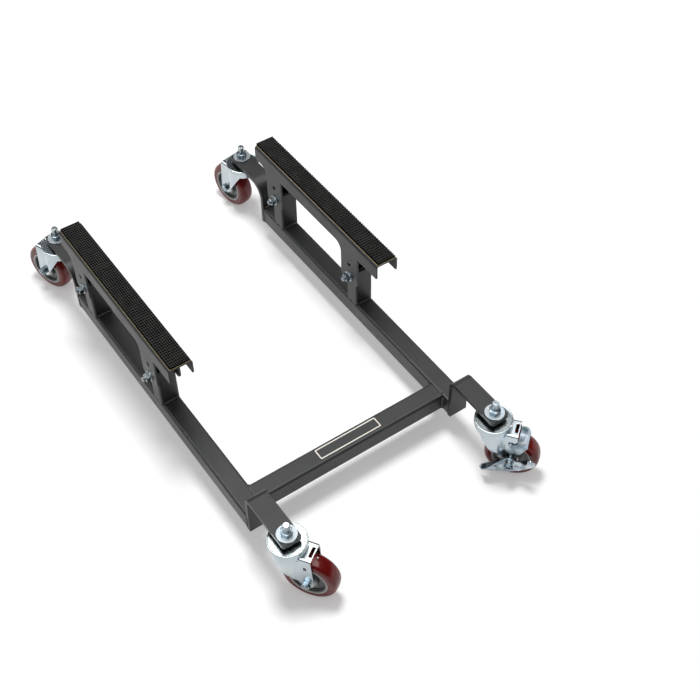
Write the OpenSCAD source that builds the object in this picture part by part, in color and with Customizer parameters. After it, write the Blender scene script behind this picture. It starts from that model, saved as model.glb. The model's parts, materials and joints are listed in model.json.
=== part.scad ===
// Motorcycle mover dolly: a low welded frame of square tube on four swivel casters,
// with two padded supports that carry a motorcycle by its lower frame.
// The origin is on the floor, midway between the two rails and midway between the front and rear
// caster stems. +X is to the right, +Y to the rear, away from the cross tube, and +Z is up.
// A caster has its own frame: u points from its stem towards its trailing wheel, s along its axle,
// and z up from the floor.

/* [Rails and cross tube] */
// Side of the square tube
tube_w = 38; // [32:1:44]
// Outer corner radius of the square tube
tube_r = 5; // [3:0.5:7]
// Wall of the tubes
tube_wall = 2.5; // [2:0.1:3]
// Length of each rail
rail_len = 638; // [580:1:720]
// Distance between the centre lines of the rails
rail_pitch = 434; // [380:1:500]
// Height of the rails' underside above the floor
rail_z = 50.6; // [44:0.1:56]
// Setback of the cross tube from the rails' front ends
cross_setback = 16; // [6:1:60]

/* [Arms] */
// Thickness of the flat bar
arm_t = 8; // [6:0.5:10]
// Reach from the rails' front ends to the front stems
front_reach = 103; // [102:1:130]
// Reach from the rails' rear ends to the rear stems
rear_reach = 109; // [102:1:130]
// Length of an arm beyond its stem
arm_tip = 17.5; // [15:0.5:24]
// Inner radius of the front arms' bend
front_bend = 8; // [6:1:20]
// Inner radius of the rear arms' bend
rear_bend = 30; // [20:1:34]
// Corner radius of an arm's tip
arm_corner = 5; // [2:0.5:8]
// Gap between a caster's race and the arm's underside
arm_gap = 6.6; // [5:0.1:10]

/* [Posts] */
// Length of a post's section along the rail
post_d = 32; // [28:1:38]
// Corner radius of a post
post_r = 4; // [3:0.5:6]
// Height of a post
post_h = 88.4; // [84:0.1:110]
// Distance from the rails' front ends to the front posts
post_front = 310; // [280:1:330]
// Distance from the rails' rear ends to the rear posts
post_rear = 61.5; // [50:0.5:90]
// Height of the post's bolt hole above the rail
post_hole_z = 72.9; // [68:0.1:76]
// Radius of the notch at a post's foot
foot_notch = 3; // [2:0.5:4]

/* [Supports] */
// Thickness of the channel's sheet
sheet_t = 3.5; // [2.5:0.1:4]
// Inner radius of the channel's bends
sheet_bend = 2.5; // [1.5:0.1:3]
// Gap between a post and the channel's leg on each side
leg_play = 1.5; // [0.8:0.1:2.5]
// Reach of the channel in front of the front posts
support_front = 88; // [60:1:95]
// Reach of the channel behind the rear posts
support_rear = 66.5; // [50:0.5:90]
// Depth of the channel's side flange
flange_h = 31.7; // [26:0.1:36]
// Width of a leg
leg_w = 54; // [44:1:60]
// Height from the lower hole to the channel's top
leg_hole_drop = 95.5; // [88:0.5:110]
// Distance between a leg's two holes
hole_pitch = 32; // [26:0.5:36]
// Length of the leg below its lower hole
leg_end = 13.5; // [11:0.5:16]
// Corner radius at a leg's foot
leg_corner = 11; // [6:0.5:13]
// Radius of the web between a leg and the flange
leg_web = 19; // [10:0.5:22]

/* [Pads] */
// Width of a pad
pad_w = 39; // [32:0.5:44]
// Thickness of a pad to the tops of its nubs
pad_t = 5.5; // [4:0.1:8]
// Thickness of the tape under a pad
tape_t = 0.8; // [0.4:0.1:1.5]
// Width of the tape that shows round a pad
tape_lip = 0.8; // [0.3:0.1:1.2]
// Height of the nubs on a pad
nub_h = 1.7; // [1:0.1:2.2]
// Spacing of the rows of nubs along a pad
nub_pitch = 6.1; // [5:0.1:9]
// Flat crest of a row of nubs
nub_crest = 1.9; // [1:0.1:2.5]
// Flat floor between two rows of nubs
nub_floor = 0.8; // [0.4:0.1:1.4]

/* [Fasteners] */
// Shank diameter of the support bolts
bolt_d = 9.5; // [8:0.1:10]
// Diameter of the holes for the support bolts
bolt_hole = 10.5; // [10.2:0.1:12]
// Width across flats of the support bolts and nuts
bolt_af = 14.3; // [13.5:0.1:17]
// Height of a bolt's head
head_h = 6.4; // [5:0.1:7]
// Height of the support nuts
nut_h = 8.5; // [6:0.1:10]
// Length of thread that stands out of a nut
bolt_end = 5.5; // [2:0.5:8]
// Outer diameter of the support washers
washer_d = 21; // [18:0.5:24]
// Thickness of the support washers
washer_t = 2; // [1:0.1:2.5]
// Stem diameter of the casters
stem_d = 12.7; // [12:0.1:14]
// Height of a stem above the arm
stem_above = 28; // [24:0.5:34]
// Outer diameter of the stem washers
stem_washer_d = 36; // [30:0.5:38]
// Thickness of the stem washers
stem_washer_t = 2.5; // [2:0.1:3]
// Width across flats of the stem nuts
stem_nut_af = 19.05; // [18:0.05:22]
// Height of the stem nuts
stem_nut_h = 12.5; // [10:0.1:14]
// Height of the round collar on a stem nut
stem_collar = 3; // [2:0.1:4]

/* [Casters] */
// Wheel diameter
wheel_d = 101.6; // [97:0.1:102]
// Tread width
wheel_w = 32; // [28:0.5:34]
// Height from the floor to the top of the race
caster_h = 133; // [132:0.1:138]
// Lead of the axle behind the stem
caster_lead = 40.5; // [38:0.5:42]
// Diameter of the wheel core under the tread
core_d = 71; // [64:0.5:76]
// Outer diameter of the top race
race_d = 70; // [68:0.5:74]
// Ball diameter
ball_d = 6.35; // [6:0.05:6.6]
// Diameter of the ring of balls
ball_ring = 50; // [48:0.5:52]
// Sheet thickness of the fork
fork_t = 2.8; // [2.4:0.1:3]
// Gap between the fork's legs
fork_gap = 36.4; // [35.8:0.2:38]
// Outer radius of the fork's horn about the stem
horn_r = 33; // [31:0.1:33]
// Length of the fork's crown behind the stem
crown_rear = 48.5; // [46:0.5:50]
// Radius of the fork's round ends at the axle
fork_tip = 12.5; // [11:0.5:14]
// Distance in front of the stem where a leg's leading edge starts
lead_start = 19; // [14:0.5:24]
// Radius of the legs' leading edges
lead_r = 500; // [250:10:900]
// Axle diameter
axle_d = 9.5; // [9:0.1:10]
// Trailing direction of the front left caster
front_left_trail = 303.5; // [0:0.1:360]
// Trailing direction of the front right caster
front_right_trail = 309.1; // [0:0.1:360]
// Trailing direction of the rear left caster
rear_left_trail = 109.7; // [0:0.1:360]
// Trailing direction of the rear right caster
rear_right_trail = 100.3; // [0:0.1:360]

/* [Brake] */
// Sheet thickness of the pedal
pedal_t = 2.5; // [2:0.1:3]
// Distance from the near leg to the pedal's plate
pedal_standoff = 8.5; // [7:0.5:10]
// Width of the pedal's foot tabs
pedal_tab = 12; // [8:0.5:13]
// Sheet thickness of the brake shoe
shoe_t = 2.3; // [1.8:0.1:2.5]
// Reach of the shoe past the middle of the tread
shoe_reach = 14; // [8:0.5:15]
// Teeth along the shoe's lower edge
shoe_teeth = 7; // [5:1:9]
// Diameter of the shoe's hinge rivet
rivet_d = 5; // [4:0.1:5.5]

/* [Hidden] */
$fn = 64;

// Overshoot of a cut past the faces it goes through
cut = 2;
// Radial running fit of a pin, shaft or stem
run_fit = 0.05;
// Gap between faces that pass each other
face_gap = 0.3;
// Overlap that joins two forms of one solid
merge = 1;
// Leg size of the weld beads, the share of it at their face, and the rise of a low bead
weld = 4;
bead_face = 0.66;
bead_rise = weld / 4;
// Flat face of a hexagon's end, as a share of the width across flats
hex_face = 0.96;

// Rail ends along Y, from the two reaches
stem_y = (rail_len + front_reach + rear_reach) / 2;
rail_y0 = front_reach - stem_y;
rail_y1 = rail_y0 + rail_len;
rail_x = rail_pitch / 2;
rail_top = rail_z + tube_w;
tube_flat = tube_w - 2 * tube_r;
cross_y = rail_y0 + cross_setback + tube_w / 2;
cross_len = rail_pitch - tube_w;

// Arms
arm_top = caster_h + arm_gap + arm_t;
stem_bore = stem_d + 0.8;

// Posts and supports
post_y = [rail_y0 + post_front, rail_y1 - post_rear];
hole_z = rail_top + post_hole_z;
channel_top = hole_z + leg_hole_drop;
channel_w = tube_w + 2 * (leg_play + sheet_t);
channel_bend = sheet_bend + sheet_t;
channel_y0 = post_y[0] - support_front;
support_len = post_y[1] + support_rear - channel_y0;
leg_z0 = hole_z - leg_end;
flange_z = channel_top - flange_h;
pad_z = channel_top + tape_t;
grip = channel_w / 2 + washer_t;

// Casters: heights above the floor
axle_z = wheel_d / 2;
race_rim = 1;
race_t = 2.8;
race_face = caster_h - race_rim;
race_under = race_face - race_t;
race_skirt = 4.7;
race_wall = 1.4;
race_lip = 1.5;
ball_z = race_under - race_t;
crown_drop = 15;
crown_z = caster_h - crown_drop;
cup_z = ball_z - 1;
cup_foot = 15;
cup_slope = 5;
skirt_h = 3;
splay_tilt = 35;
splay = [[0, 9], [5.5, 22], [9.5, 37], [horn_r - fork_gap / 2 - fork_t + cut, 62]];
tab_slot = [6, 21];
fork_w = fork_gap + 2 * fork_t;
fork_side = fork_w / 2;
fork_bend = 5;
blend_r = 12;
ball_space = ball_d / 2 + face_gap;
ball_pitch = 1.08 * ball_d;
ball_count = floor(PI * ball_ring / ball_pitch);
shoulder_d = 24;
flange_d = 18;
flange_t = 3.4;

// Wheel: radii about the axle
sleeve_d = 12;
bearing_d = 28;
bearing_w = 8;
hub_d = 36;
rim_t = 5;
hub_play = 1;
web_w = 16;
rim_w = wheel_w - 1;
rim_bead = 1.2;
rim_bead_z = rim_w / 2 - 0.7;
tread_edge = 9;
tread_crown = 42;
tread_band = 4;

// Axle fasteners
axle_af = 14.3;
axle_head = 6;
axle_nut_h = 8;
axle_end = 2;

// Brake: heights and places in the caster's frame
pin_u = 38;
pin_drop = 8.6;
pin_z = wheel_d - pin_drop;
slot_w = rivet_d + 2 * run_fit + 0.1;
slot_h = 9;
boss_d = 16;
boss_len = pedal_standoff + 2 * pedal_t - face_gap;
pedal_s = -fork_side - pedal_standoff;
rivet_head = 1.1;
rivet_lip = 1.2;
pedal_stack = boss_len + 2 * face_gap;
shoe_side = fork_side + face_gap;

// Pedal: centres and radii of its rounds, from the axle
pedal_hub = [0, -1.5];
pedal_hub_r = 18;
pedal_front = [-44.5, -24.5];
pedal_front_r = 8;
pedal_root = [13, -2];
pedal_root_r = 12;
pedal_rear = [36.5, 12.5];
pedal_rear_r = 9.5;

// Shoe: corners of its side plate and bridge, from the hinge rivet
shoe_foot = [-6, -22];
shoe_heel = [17.5, -19];
shoe_nose = [30.5, 3.5];
shoe_crest = [24.6, 18];
shoe_back = [12.3, 18];
shoe_neck = [6, 4];
shoe_lip = [30.4, 4.2];
shoe_ring = 6;
shoe_notch = 3;
shoe_chamfer = 1.4;

// Rectangle with round corners, centred
module round_rect(w, h, r) {
    square([w - 2 * r, h], center = true);
    square([w, h - 2 * r], center = true);
    for (x = [-1, 1], y = [-1, 1])
        translate([x * (w / 2 - r), y * (h / 2 - r)]) circle(r);
}

// Section of a tube, centred
module tube_section(w, h, r) {
    difference() {
        round_rect(w, h, r);
        round_rect(w - 2 * tube_wall, h - 2 * tube_wall, max(r - tube_wall, 0.5));
    }
}

// Two bends of a folded sheet and the flat between them
module bend_pair(w, r) {
    square([w - 2 * r, 2 * r], center = true);
    for (x = [-1, 1]) translate([x * (w / 2 - r), 0]) circle(r);
}

// Extrude an X-Z outline from y0 towards +Y
module along_y(y0, len) {
    translate([0, y0 + len, 0]) rotate([90, 0, 0]) linear_extrude(len) children();
}

// Extrude a Y-Z outline from x0 towards +X
module along_x(x0, len) {
    translate([x0, 0, 0]) rotate([90, 0, 90]) linear_extrude(len) children();
}

// A vector turned by an angle
function turn(v, a) = [v[0] * cos(a) - v[1] * sin(a), v[0] * sin(a) + v[1] * cos(a)];

// Point where the line from p touches the circle about c
function tangent(p, c, r, side) =
    let (d = p - c, l = norm(d), a = acos(r / l)) c + turn(d, side * a) * r / l;

// Ends of the outer tangent of two circles
function edge(p, pr, q, qr, side) =
    let (d = q - p, l = norm(d), n = turn(d, side * acos((pr - qr) / l)) / l) [p + n * pr, q + n * qr];

// Centre of the circle of radius r that passes through p and holds the circle about c
function holder(p, c, cr, r) =
    let (d = p - c, l = norm(d), m = r - cr, a = acos((l * l + m * m - r * r) / (2 * l * m)))
    c + turn(d, -a) * m / l;

// Flat strap between two circles
module strap(p, pr, q, qr) {
    up = edge(p, pr, q, qr, 1);
    down = edge(p, pr, q, qr, -1);
    polygon([up[0], up[1], down[1], down[0]]);
    translate(p) circle(pr);
    translate(q) circle(qr);
}

// Hexagonal prism with its corners chamfered at the top, standing on z = 0
module hex_blank(af, h, both = false) {
    corner = af / 2 / cos(30);
    face = af / 2 * hex_face;
    drop = (corner - face) * tan(30);
    foot = both ? drop : 0;
    intersection() {
        cylinder(r = corner, h = h, $fn = 6);
        rotate_extrude()
            polygon([[0, 0], [both ? face : corner, 0], [corner, foot],
                [corner, h - drop], [face, h], [0, h]]);
    }
}

// Nut with its bore, standing on z = 0
module hex_nut(af, h, bore) {
    difference() {
        hex_blank(af, h, true);
        translate([0, 0, -cut]) cylinder(d = bore, h = h + 2 * cut);
    }
}

// Lock nut with a round collar on its hexagon, standing on z = 0
module lock_nut(af, h, collar, bore) {
    difference() {
        union() {
            hex_blank(af, h - collar, true);
            cylinder(r = af / 2 - collar / 2, h = h);
        }
        translate([0, 0, -cut]) cylinder(d = bore, h = h + 2 * cut);
    }
}

// Bolt with its head above z = 0 and its shank below
module hex_bolt(d, len, af, h) {
    tip = 1;
    hex_blank(af, h);
    rotate_extrude()
        polygon([[0, -len], [d / 2 - tip, -len], [d / 2, -len + tip], [d / 2, h / 2], [0, h / 2]]);
}

// Flat washer on z = 0
module washer(d, bore, t) {
    linear_extrude(t) difference() {
        circle(d = d);
        circle(d = bore);
    }
}

// Rails, cross tube and posts

module rail(side) {
    color([0.16, 0.16, 0.17])
    translate([side * rail_x, 0, rail_z + tube_w / 2])
        along_y(rail_y0, rail_len) tube_section(tube_w, tube_w, tube_r);
}

module left_rail() rail(-1);
module right_rail() rail(1);

module cross_tube() {
    color([0.16, 0.16, 0.17])
    translate([0, cross_y, rail_z + tube_w / 2])
        along_x(-cross_len / 2, cross_len) tube_section(tube_w, tube_w, tube_r);
}

module post(side, y) {
    color([0.16, 0.16, 0.17])
    translate([side * rail_x, y, rail_top]) difference() {
        linear_extrude(post_h) tube_section(tube_w, post_d, post_r);
        translate([-tube_w / 2 - cut, 0, post_hole_z]) rotate([0, 90, 0])
            cylinder(d = bolt_hole, h = tube_w + 2 * cut);
        translate([-tube_w / 2 - cut, 0, 0]) rotate([0, 90, 0])
            cylinder(r = foot_notch, h = tube_w + 2 * cut);
    }
}

module front_left_post() post(-1, post_y[0]);
module front_right_post() post(1, post_y[0]);
module rear_left_post() post(-1, post_y[1]);
module rear_right_post() post(1, post_y[1]);

// Arms of bent flat bar

// Side outline: an upright at y = 0 that bends over towards +Y
module arm_outline(bend, reach) {
    outer = bend + arm_t;
    square([arm_t, arm_top - outer - rail_z]);
    translate([outer, arm_top - arm_t - rail_z]) square([reach + arm_tip - outer, arm_t]);
    translate([outer, arm_top - outer - rail_z]) intersection() {
        difference() {
            circle(outer);
            circle(bend);
        }
        translate([-outer, 0]) square(outer);
    }
}

module arm(side, bend, reach, y, dir) {
    color([0.19, 0.18, 0.16])
    translate([side * rail_x, y, 0]) rotate([0, 0, dir > 0 ? 0 : 180]) difference() {
        intersection() {
            translate([0, 0, rail_z]) along_x(-tube_w / 2, tube_w) arm_outline(bend, reach);
            linear_extrude(arm_top + cut) union() {
                translate([0, (reach + arm_tip) / 2]) round_rect(tube_w, reach + arm_tip, arm_corner);
                translate([-tube_w / 2, 0]) square([tube_w, reach / 2]);
            }
        }
        translate([0, reach, rail_z]) cylinder(d = stem_bore, h = arm_top);
    }
}

module front_left_arm() arm(-1, front_bend, front_reach, rail_y0, -1);
module front_right_arm() arm(1, front_bend, front_reach, rail_y0, -1);
module rear_left_arm() arm(-1, rear_bend, rear_reach, rail_y1, 1);
module rear_right_arm() arm(1, rear_bend, rear_reach, rail_y1, 1);

// Supports of folded sheet

module channel_section() {
    depth = channel_top - leg_z0;
    difference() {
        union() {
            translate([-channel_w / 2, leg_z0]) square([channel_w, depth - channel_bend]);
            translate([0, channel_top - channel_bend]) bend_pair(channel_w, channel_bend);
        }
        translate([-channel_w / 2 + sheet_t, leg_z0 - cut])
            square([channel_w - 2 * sheet_t, depth - channel_bend + cut]);
        translate([0, channel_top - channel_bend]) bend_pair(channel_w - 2 * sheet_t, sheet_bend);
    }
}

// Side outline: the flange, and a leg over each post with a web on its rear side
module channel_outline() {
    translate([channel_y0, flange_z]) square([support_len, flange_h]);
    for (y = post_y) {
        translate([y, 0]) {
            translate([-leg_w / 2, leg_z0 + leg_corner])
                square([leg_w, flange_z - leg_z0 - leg_corner]);
            translate([-leg_w / 2 + leg_corner, leg_z0]) square([leg_w - 2 * leg_corner, leg_corner]);
            for (x = [-1, 1])
                translate([x * (leg_w / 2 - leg_corner), leg_z0 + leg_corner]) circle(leg_corner);
            difference() {
                translate([leg_w / 2, flange_z - leg_web]) square(leg_web);
                translate([leg_w / 2 + leg_web, flange_z - leg_web]) circle(leg_web);
            }
        }
    }
}

module support_channel(side) {
    color([0.2, 0.2, 0.21])
    translate([side * rail_x, 0, 0]) difference() {
        intersection() {
            along_y(channel_y0, support_len) channel_section();
            along_x(-channel_w / 2, channel_w) channel_outline();
        }
        for (y = post_y, z = [hole_z, hole_z + hole_pitch])
            translate([-channel_w / 2 - cut, y, z]) rotate([0, 90, 0])
                cylinder(d = bolt_hole, h = channel_w + 2 * cut);
    }
}

module left_support_channel() support_channel(-1);
module right_support_channel() support_channel(1);

module pad_tape(side) {
    color([0.62, 0.55, 0.35])
    translate([side * rail_x - pad_w / 2 - tape_lip, channel_y0, channel_top])
        cube([pad_w + 2 * tape_lip, support_len, tape_t]);
}

module left_pad_tape() pad_tape(-1);
module right_pad_tape() pad_tape(1);

// Rubber pad with rows of nubs across it
module pad(side) {
    len = support_len - 2 * tape_lip;
    rows = floor((len - nub_crest) / nub_pitch);
    margin = (len - rows * nub_pitch + nub_pitch) / 2;
    base = pad_t - nub_h;
    flank = (nub_pitch - nub_crest - nub_floor) / 2;
    color([0.08, 0.08, 0.08])
    translate([0, channel_y0 + tape_lip, pad_z]) along_x(side * rail_x - pad_w / 2, pad_w) difference() {
        square([len, pad_t]);
        for (i = [0 : rows - 2])
            translate([margin + (i + 0.5) * nub_pitch, base])
                polygon([[-nub_floor / 2, 0], [nub_floor / 2, 0], [nub_floor / 2 + flank, nub_h],
                    [nub_floor / 2 + flank, nub_h + cut], [-nub_floor / 2 - flank, nub_h + cut],
                    [-nub_floor / 2 - flank, nub_h]]);
    }
}

module left_pad() pad(-1);
module right_pad() pad(1);

// Support fasteners: the heads are on the +X side of both channels

module at_support_bolts() {
    for (side = [-1, 1], y = post_y)
        translate([side * rail_x, y, hole_z]) rotate([0, 90, 0]) children();
}

module support_bolts() {
    color([0.8, 0.82, 0.85])
    at_support_bolts() translate([0, 0, grip])
        hex_bolt(bolt_d, 2 * grip + nut_h + bolt_end, bolt_af, head_h);
}

module support_nuts() {
    color([0.8, 0.82, 0.85])
    at_support_bolts() translate([0, 0, -grip - nut_h]) hex_nut(bolt_af, nut_h, bolt_d + 2 * run_fit);
}

module support_washers() {
    color([0.8, 0.82, 0.85])
    at_support_bolts() for (z = [-grip, channel_w / 2])
        translate([0, 0, z]) washer(washer_d, bolt_hole, washer_t);
}

// Weld beads

// Bead in a square corner, and a low bead over a flush seam
module corner_bead() polygon([[0, 0], [weld, 0], [weld, weld] * bead_face, [0, weld]]);
module seam_bead()
    polygon([[-weld / 2, 0], [weld / 2, 0], [bead_rise, bead_rise], [-bead_rise, bead_rise]]);

// Bead that fills the hollow beside a tube's round corner
module hollow_bead(rise) {
    difference() {
        translate([-tube_r, -tube_r]) square([tube_r, tube_r + rise]);
        translate([-tube_r, -tube_r]) circle(tube_r + run_fit);
    }
}

module cross_welds(side) {
    x = side * cross_len / 2;
    for (dir = [-1, 1]) {
        translate([x, cross_y + dir * tube_w / 2, rail_z + tube_r])
            linear_extrude(tube_flat) facing(-side, dir) corner_bead();
        translate([x, 0, rail_z + tube_w / 2]) over_or_under(dir)
            translate([0, 0, tube_w / 2]) along_y(cross_y - tube_flat / 2, tube_flat)
                facing(-side, 1) hollow_bead(bead_rise);
    }
}

// Mirror an outline so that its corner opens towards the given signs
module facing(sx, sy) {
    mirror([sx < 0 ? 1 : 0, 0]) mirror([0, sy < 0 ? 1 : 0]) children();
}

// Turn a bead upside down where it lies on the underside of a tube
module over_or_under(dir) {
    mirror([0, 0, dir < 0 ? 1 : 0]) children();
}

module arm_welds(side, y, dir) {
    translate([side * rail_x, y, 0]) {
        translate([0, 0, rail_top]) along_x(-tube_flat / 2, tube_flat) facing(-dir, 1) corner_bead();
        for (x = [-1, 1])
            translate([x * tube_w / 2, 0, rail_z + tube_r]) rotate([0, 0, -x * 90])
                linear_extrude(tube_flat) seam_bead();
        translate([0, 0, rail_z]) along_x(-tube_flat / 2, tube_flat) facing(1, -1) seam_bead();
    }
}

module post_welds(side, y) {
    run = post_d - 2 * post_r;
    translate([side * rail_x, y, rail_top]) {
        for (dir = [-1, 1]) {
            translate([0, dir * post_d / 2, 0]) along_x(-tube_flat / 2, tube_flat)
                facing(dir, 1) corner_bead();
            translate([dir * tube_w / 2, 0, 0]) along_y(-run / 2, run) facing(dir, 1) hollow_bead(0);
        }
    }
}

module frame_welds() {
    color([0.17, 0.17, 0.18]) {
        for (side = [-1, 1]) {
            cross_welds(side);
            arm_welds(side, rail_y0, -1);
            arm_welds(side, rail_y1, 1);
            for (y = post_y) post_welds(side, y);
        }
    }
}

// Casters

// Place a part of a caster, given in its own frame
module at_caster(x, y, trail) {
    translate([x * rail_x, y * stem_y, 0]) rotate([0, 0, trail]) children();
}

module front_left() at_caster(-1, -1, front_left_trail) children();
module front_right() at_caster(1, -1, front_right_trail) children();
module rear_left() at_caster(-1, 1, rear_left_trail) children();
module rear_right() at_caster(1, 1, rear_right_trail) children();

module at_stems() {
    for (x = [-1, 1], y = [-1, 1]) translate([x * rail_x, y * stem_y, 0]) children();
}

// Stem with a lower flange that holds the fork up and a shoulder under the arm
module caster_stems() {
    low = crown_z - fork_t - face_gap;
    tip = 1.2;
    r = stem_d / 2;
    color([0.8, 0.82, 0.85])
    at_stems() rotate_extrude()
        polygon([[0, low - flange_t], [flange_d / 2, low - flange_t], [flange_d / 2, low], [r, low],
            [r, race_face], [shoulder_d / 2, race_face], [shoulder_d / 2, arm_top - arm_t],
            [r, arm_top - arm_t], [r, arm_top + stem_above - tip],
            [r - tip, arm_top + stem_above], [0, arm_top + stem_above]]);
}

// Pressed disc with a raised rim, a rolled skirt and a groove for the balls
module top_races() {
    r = race_d / 2;
    wall = race_wall;
    color([0.82, 0.84, 0.87])
    at_stems() rotate_extrude() difference() {
        union() {
            translate([stem_d / 2 + run_fit, race_under])
                square([r - wall - stem_d / 2 - run_fit, race_t]);
            translate([r - wall, race_face - race_skirt - race_t])
                square([wall, race_skirt + race_t]);
            translate([r - race_lip, race_face - race_rim / 2]) circle(race_lip);
        }
        translate([ball_ring / 2, ball_z]) circle(ball_space);
    }
}

module stem_nuts() {
    color([0.8, 0.82, 0.85])
    at_stems() translate([0, 0, arm_top + stem_washer_t])
        lock_nut(stem_nut_af, stem_nut_h, stem_collar, stem_d + 2 * run_fit);
}

module stem_washers() {
    color([0.82, 0.84, 0.87])
    at_stems() translate([0, 0, arm_top]) washer(stem_washer_d, stem_bore, stem_washer_t);
}

module race_balls() {
    color([0.75, 0.76, 0.78])
    at_stems() for (i = [0 : ball_count - 1])
        rotate([0, 0, i * 360 / ball_count]) translate([ball_ring / 2, 0, ball_z]) sphere(d = ball_d);
}

// Side outline of the fork in u and z: a curved leading edge, a round end at the axle,
// a straight trailing edge, and the horn's skirt in front
module fork_outline() {
    c = [caster_lead, axle_z];
    front = [-lead_start, crown_z - skirt_h];
    rear = [crown_rear, crown_z];
    centre = holder(front, c, fork_tip, lead_r);
    touch = c + (c - centre) / norm(c - centre) * fork_tip;
    far = -horn_r - cut;
    intersection() {
        translate(centre) circle(lead_r, $fn = 256);
        polygon([rear, tangent(rear, c, fork_tip, -1), c, touch, [far, touch[1]], [far, crown_z]]);
    }
    translate(c) circle(fork_tip);
    translate([far, crown_z - skirt_h]) square([-far, skirt_h]);
}

// Slab between the fork's two sides, which splay from the axle up to the crown.
// The folds rise to the rear, so the legs stay flat round the axle
module splayed_slab(inset) {
    w = fork_side - inset;
    low = -2 * wheel_d;
    high = 2 * wheel_d;
    half = [for (p = splay) [w + p[0], p[1]]];
    side = concat([[-cut, low], [w, low]], half, [[w + splay[3][0], high], [-cut, high]]);
    translate([caster_lead, 0, axle_z]) rotate([0, -splay_tilt, 0]) rotate([90, 0, 90])
        translate([0, 0, -high]) linear_extrude(2 * high)
            for (x = [0, 1]) mirror([x, 0]) polygon(side);
}

// Round of the fork about the stem, from the legs up to the cup that holds the balls
module horn(inset) {
    low = axle_z - fork_tip - cut;
    r = horn_r - inset;
    top = inset > 0 ? ball_z - ball_space - inset : cup_z;
    foot = cup_foot + inset;
    intersection() {
        rotate_extrude() polygon([[0, low], [r, low], [r, top], [foot + cup_slope, top],
            [foot, crown_z - inset], [0, crown_z - inset]]);
        splayed_slab(inset);
    }
}

// Hollow that leads the round of the horn smoothly into the flat legs
module horn_blend(inset) {
    low = axle_z - fork_tip - cut;
    s = fork_side + blend_r;
    c = [sqrt(pow(horn_r + blend_r, 2) - s * s), s];
    intersection() {
        translate([0, 0, low]) linear_extrude(crown_z - fork_bend - merge - inset - low)
            for (y = [0, 1]) mirror([0, y]) difference() {
                polygon([[0, 0], [c[0], 0], c]);
                translate(c) circle(blend_r + inset + run_fit);
            }
        splayed_slab(inset);
    }
}

// Folded rear part of the fork
module saddle(inset) {
    low = axle_z - fork_tip - cut;
    w = fork_w - 2 * inset;
    r = fork_bend - inset;
    len = 2 * caster_lead;
    rotate([90, 0, 90]) linear_extrude(len) {
        translate([-w / 2, low]) square([w, crown_z - fork_bend - low]);
        translate([0, crown_z - fork_bend]) bend_pair(w, r);
    }
}

// Fork of one pressed sheet: the horn round the stem runs into two flat legs,
// and the leg on the -s side has the slot for a brake's hinge rivet
module fork() {
    color([0.82, 0.85, 0.88]) difference() {
        union() {
            intersection() {
                union() {
                    horn(0);
                    horn_blend(0);
                    saddle(0);
                }
                along_y(-horn_r - cut, 2 * (horn_r + cut)) fork_outline();
            }
            translate([0, 0, crown_z - fork_t]) intersection() {
                linear_extrude(crown_drop) circle(horn_r);
                translate([0, 0, fork_t - crown_z]) horn(0);
            }
        }
        horn(fork_t);
        horn_blend(fork_t);
        saddle(fork_t);
        rotate_extrude() translate([ball_ring / 2, ball_z]) circle(ball_space);
        translate([0, 0, crown_z - fork_t - cut]) cylinder(r = stem_d / 2 + run_fit, h = fork_t + 2 * cut);
        translate([caster_lead + tab_slot[0] / 2, 0, crown_z - fork_t - cut])
            linear_extrude(fork_t + 2 * cut) square(tab_slot, center = true);
        along_y(-fork_side - cut, fork_w + 2 * cut) translate([caster_lead, axle_z])
            circle(d = axle_d + 2 * run_fit);
        along_y(-fork_side - cut, fork_t + 2 * cut) translate([pin_u, pin_z]) {
            square([slot_w, slot_h - slot_w], center = true);
            for (z = [-1, 1]) translate([0, z * (slot_h - slot_w) / 2]) circle(d = slot_w);
        }
    }
}

module front_left_fork() front_left() fork();
module front_right_fork() front_right() fork();
module rear_left_fork() rear_left() fork();
module rear_right_fork() rear_right() fork();

// Axle with its own Z along s; flip puts the nut on the +s side
module on_axle(flip = false) {
    translate([caster_lead, 0, axle_z]) rotate([flip ? 90 : -90, 0, 0]) children();
}

// The shank passes both legs, and on the braked caster the pedal too
module axle_bolt(flip = false, pedal = 0) {
    color([0.8, 0.82, 0.85])
    on_axle(flip) translate([0, 0, fork_side])
        hex_bolt(axle_d, fork_w + pedal + axle_nut_h + axle_end, axle_af, axle_head);
}

module axle_nut(flip = false, pedal = 0) {
    color([0.8, 0.82, 0.85])
    on_axle(flip) translate([0, 0, -fork_side - pedal - axle_nut_h])
        hex_nut(axle_af, axle_nut_h, axle_d + 2 * run_fit);
}

module front_left_axle_bolt() front_left() axle_bolt();
module front_right_axle_bolt() front_right() axle_bolt(false, pedal_stack);
module rear_left_axle_bolt() rear_left() axle_bolt(true);
module rear_right_axle_bolt() rear_right() axle_bolt();
module front_left_axle_nut() front_left() axle_nut();
module front_right_axle_nut() front_right() axle_nut(false, pedal_stack);
module rear_left_axle_nut() rear_left() axle_nut(true);
module rear_right_axle_nut() rear_right() axle_nut();

module axle_sleeve() {
    color([0.7, 0.71, 0.73])
    on_axle() translate([0, 0, -fork_gap / 2]) linear_extrude(fork_gap) difference() {
        circle(d = sleeve_d);
        circle(d = axle_d + 2 * run_fit);
    }
}

module front_left_axle_sleeve() front_left() axle_sleeve();
module front_right_axle_sleeve() front_right() axle_sleeve();
module rear_left_axle_sleeve() rear_left() axle_sleeve();
module rear_right_axle_sleeve() rear_right() axle_sleeve();

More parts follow.
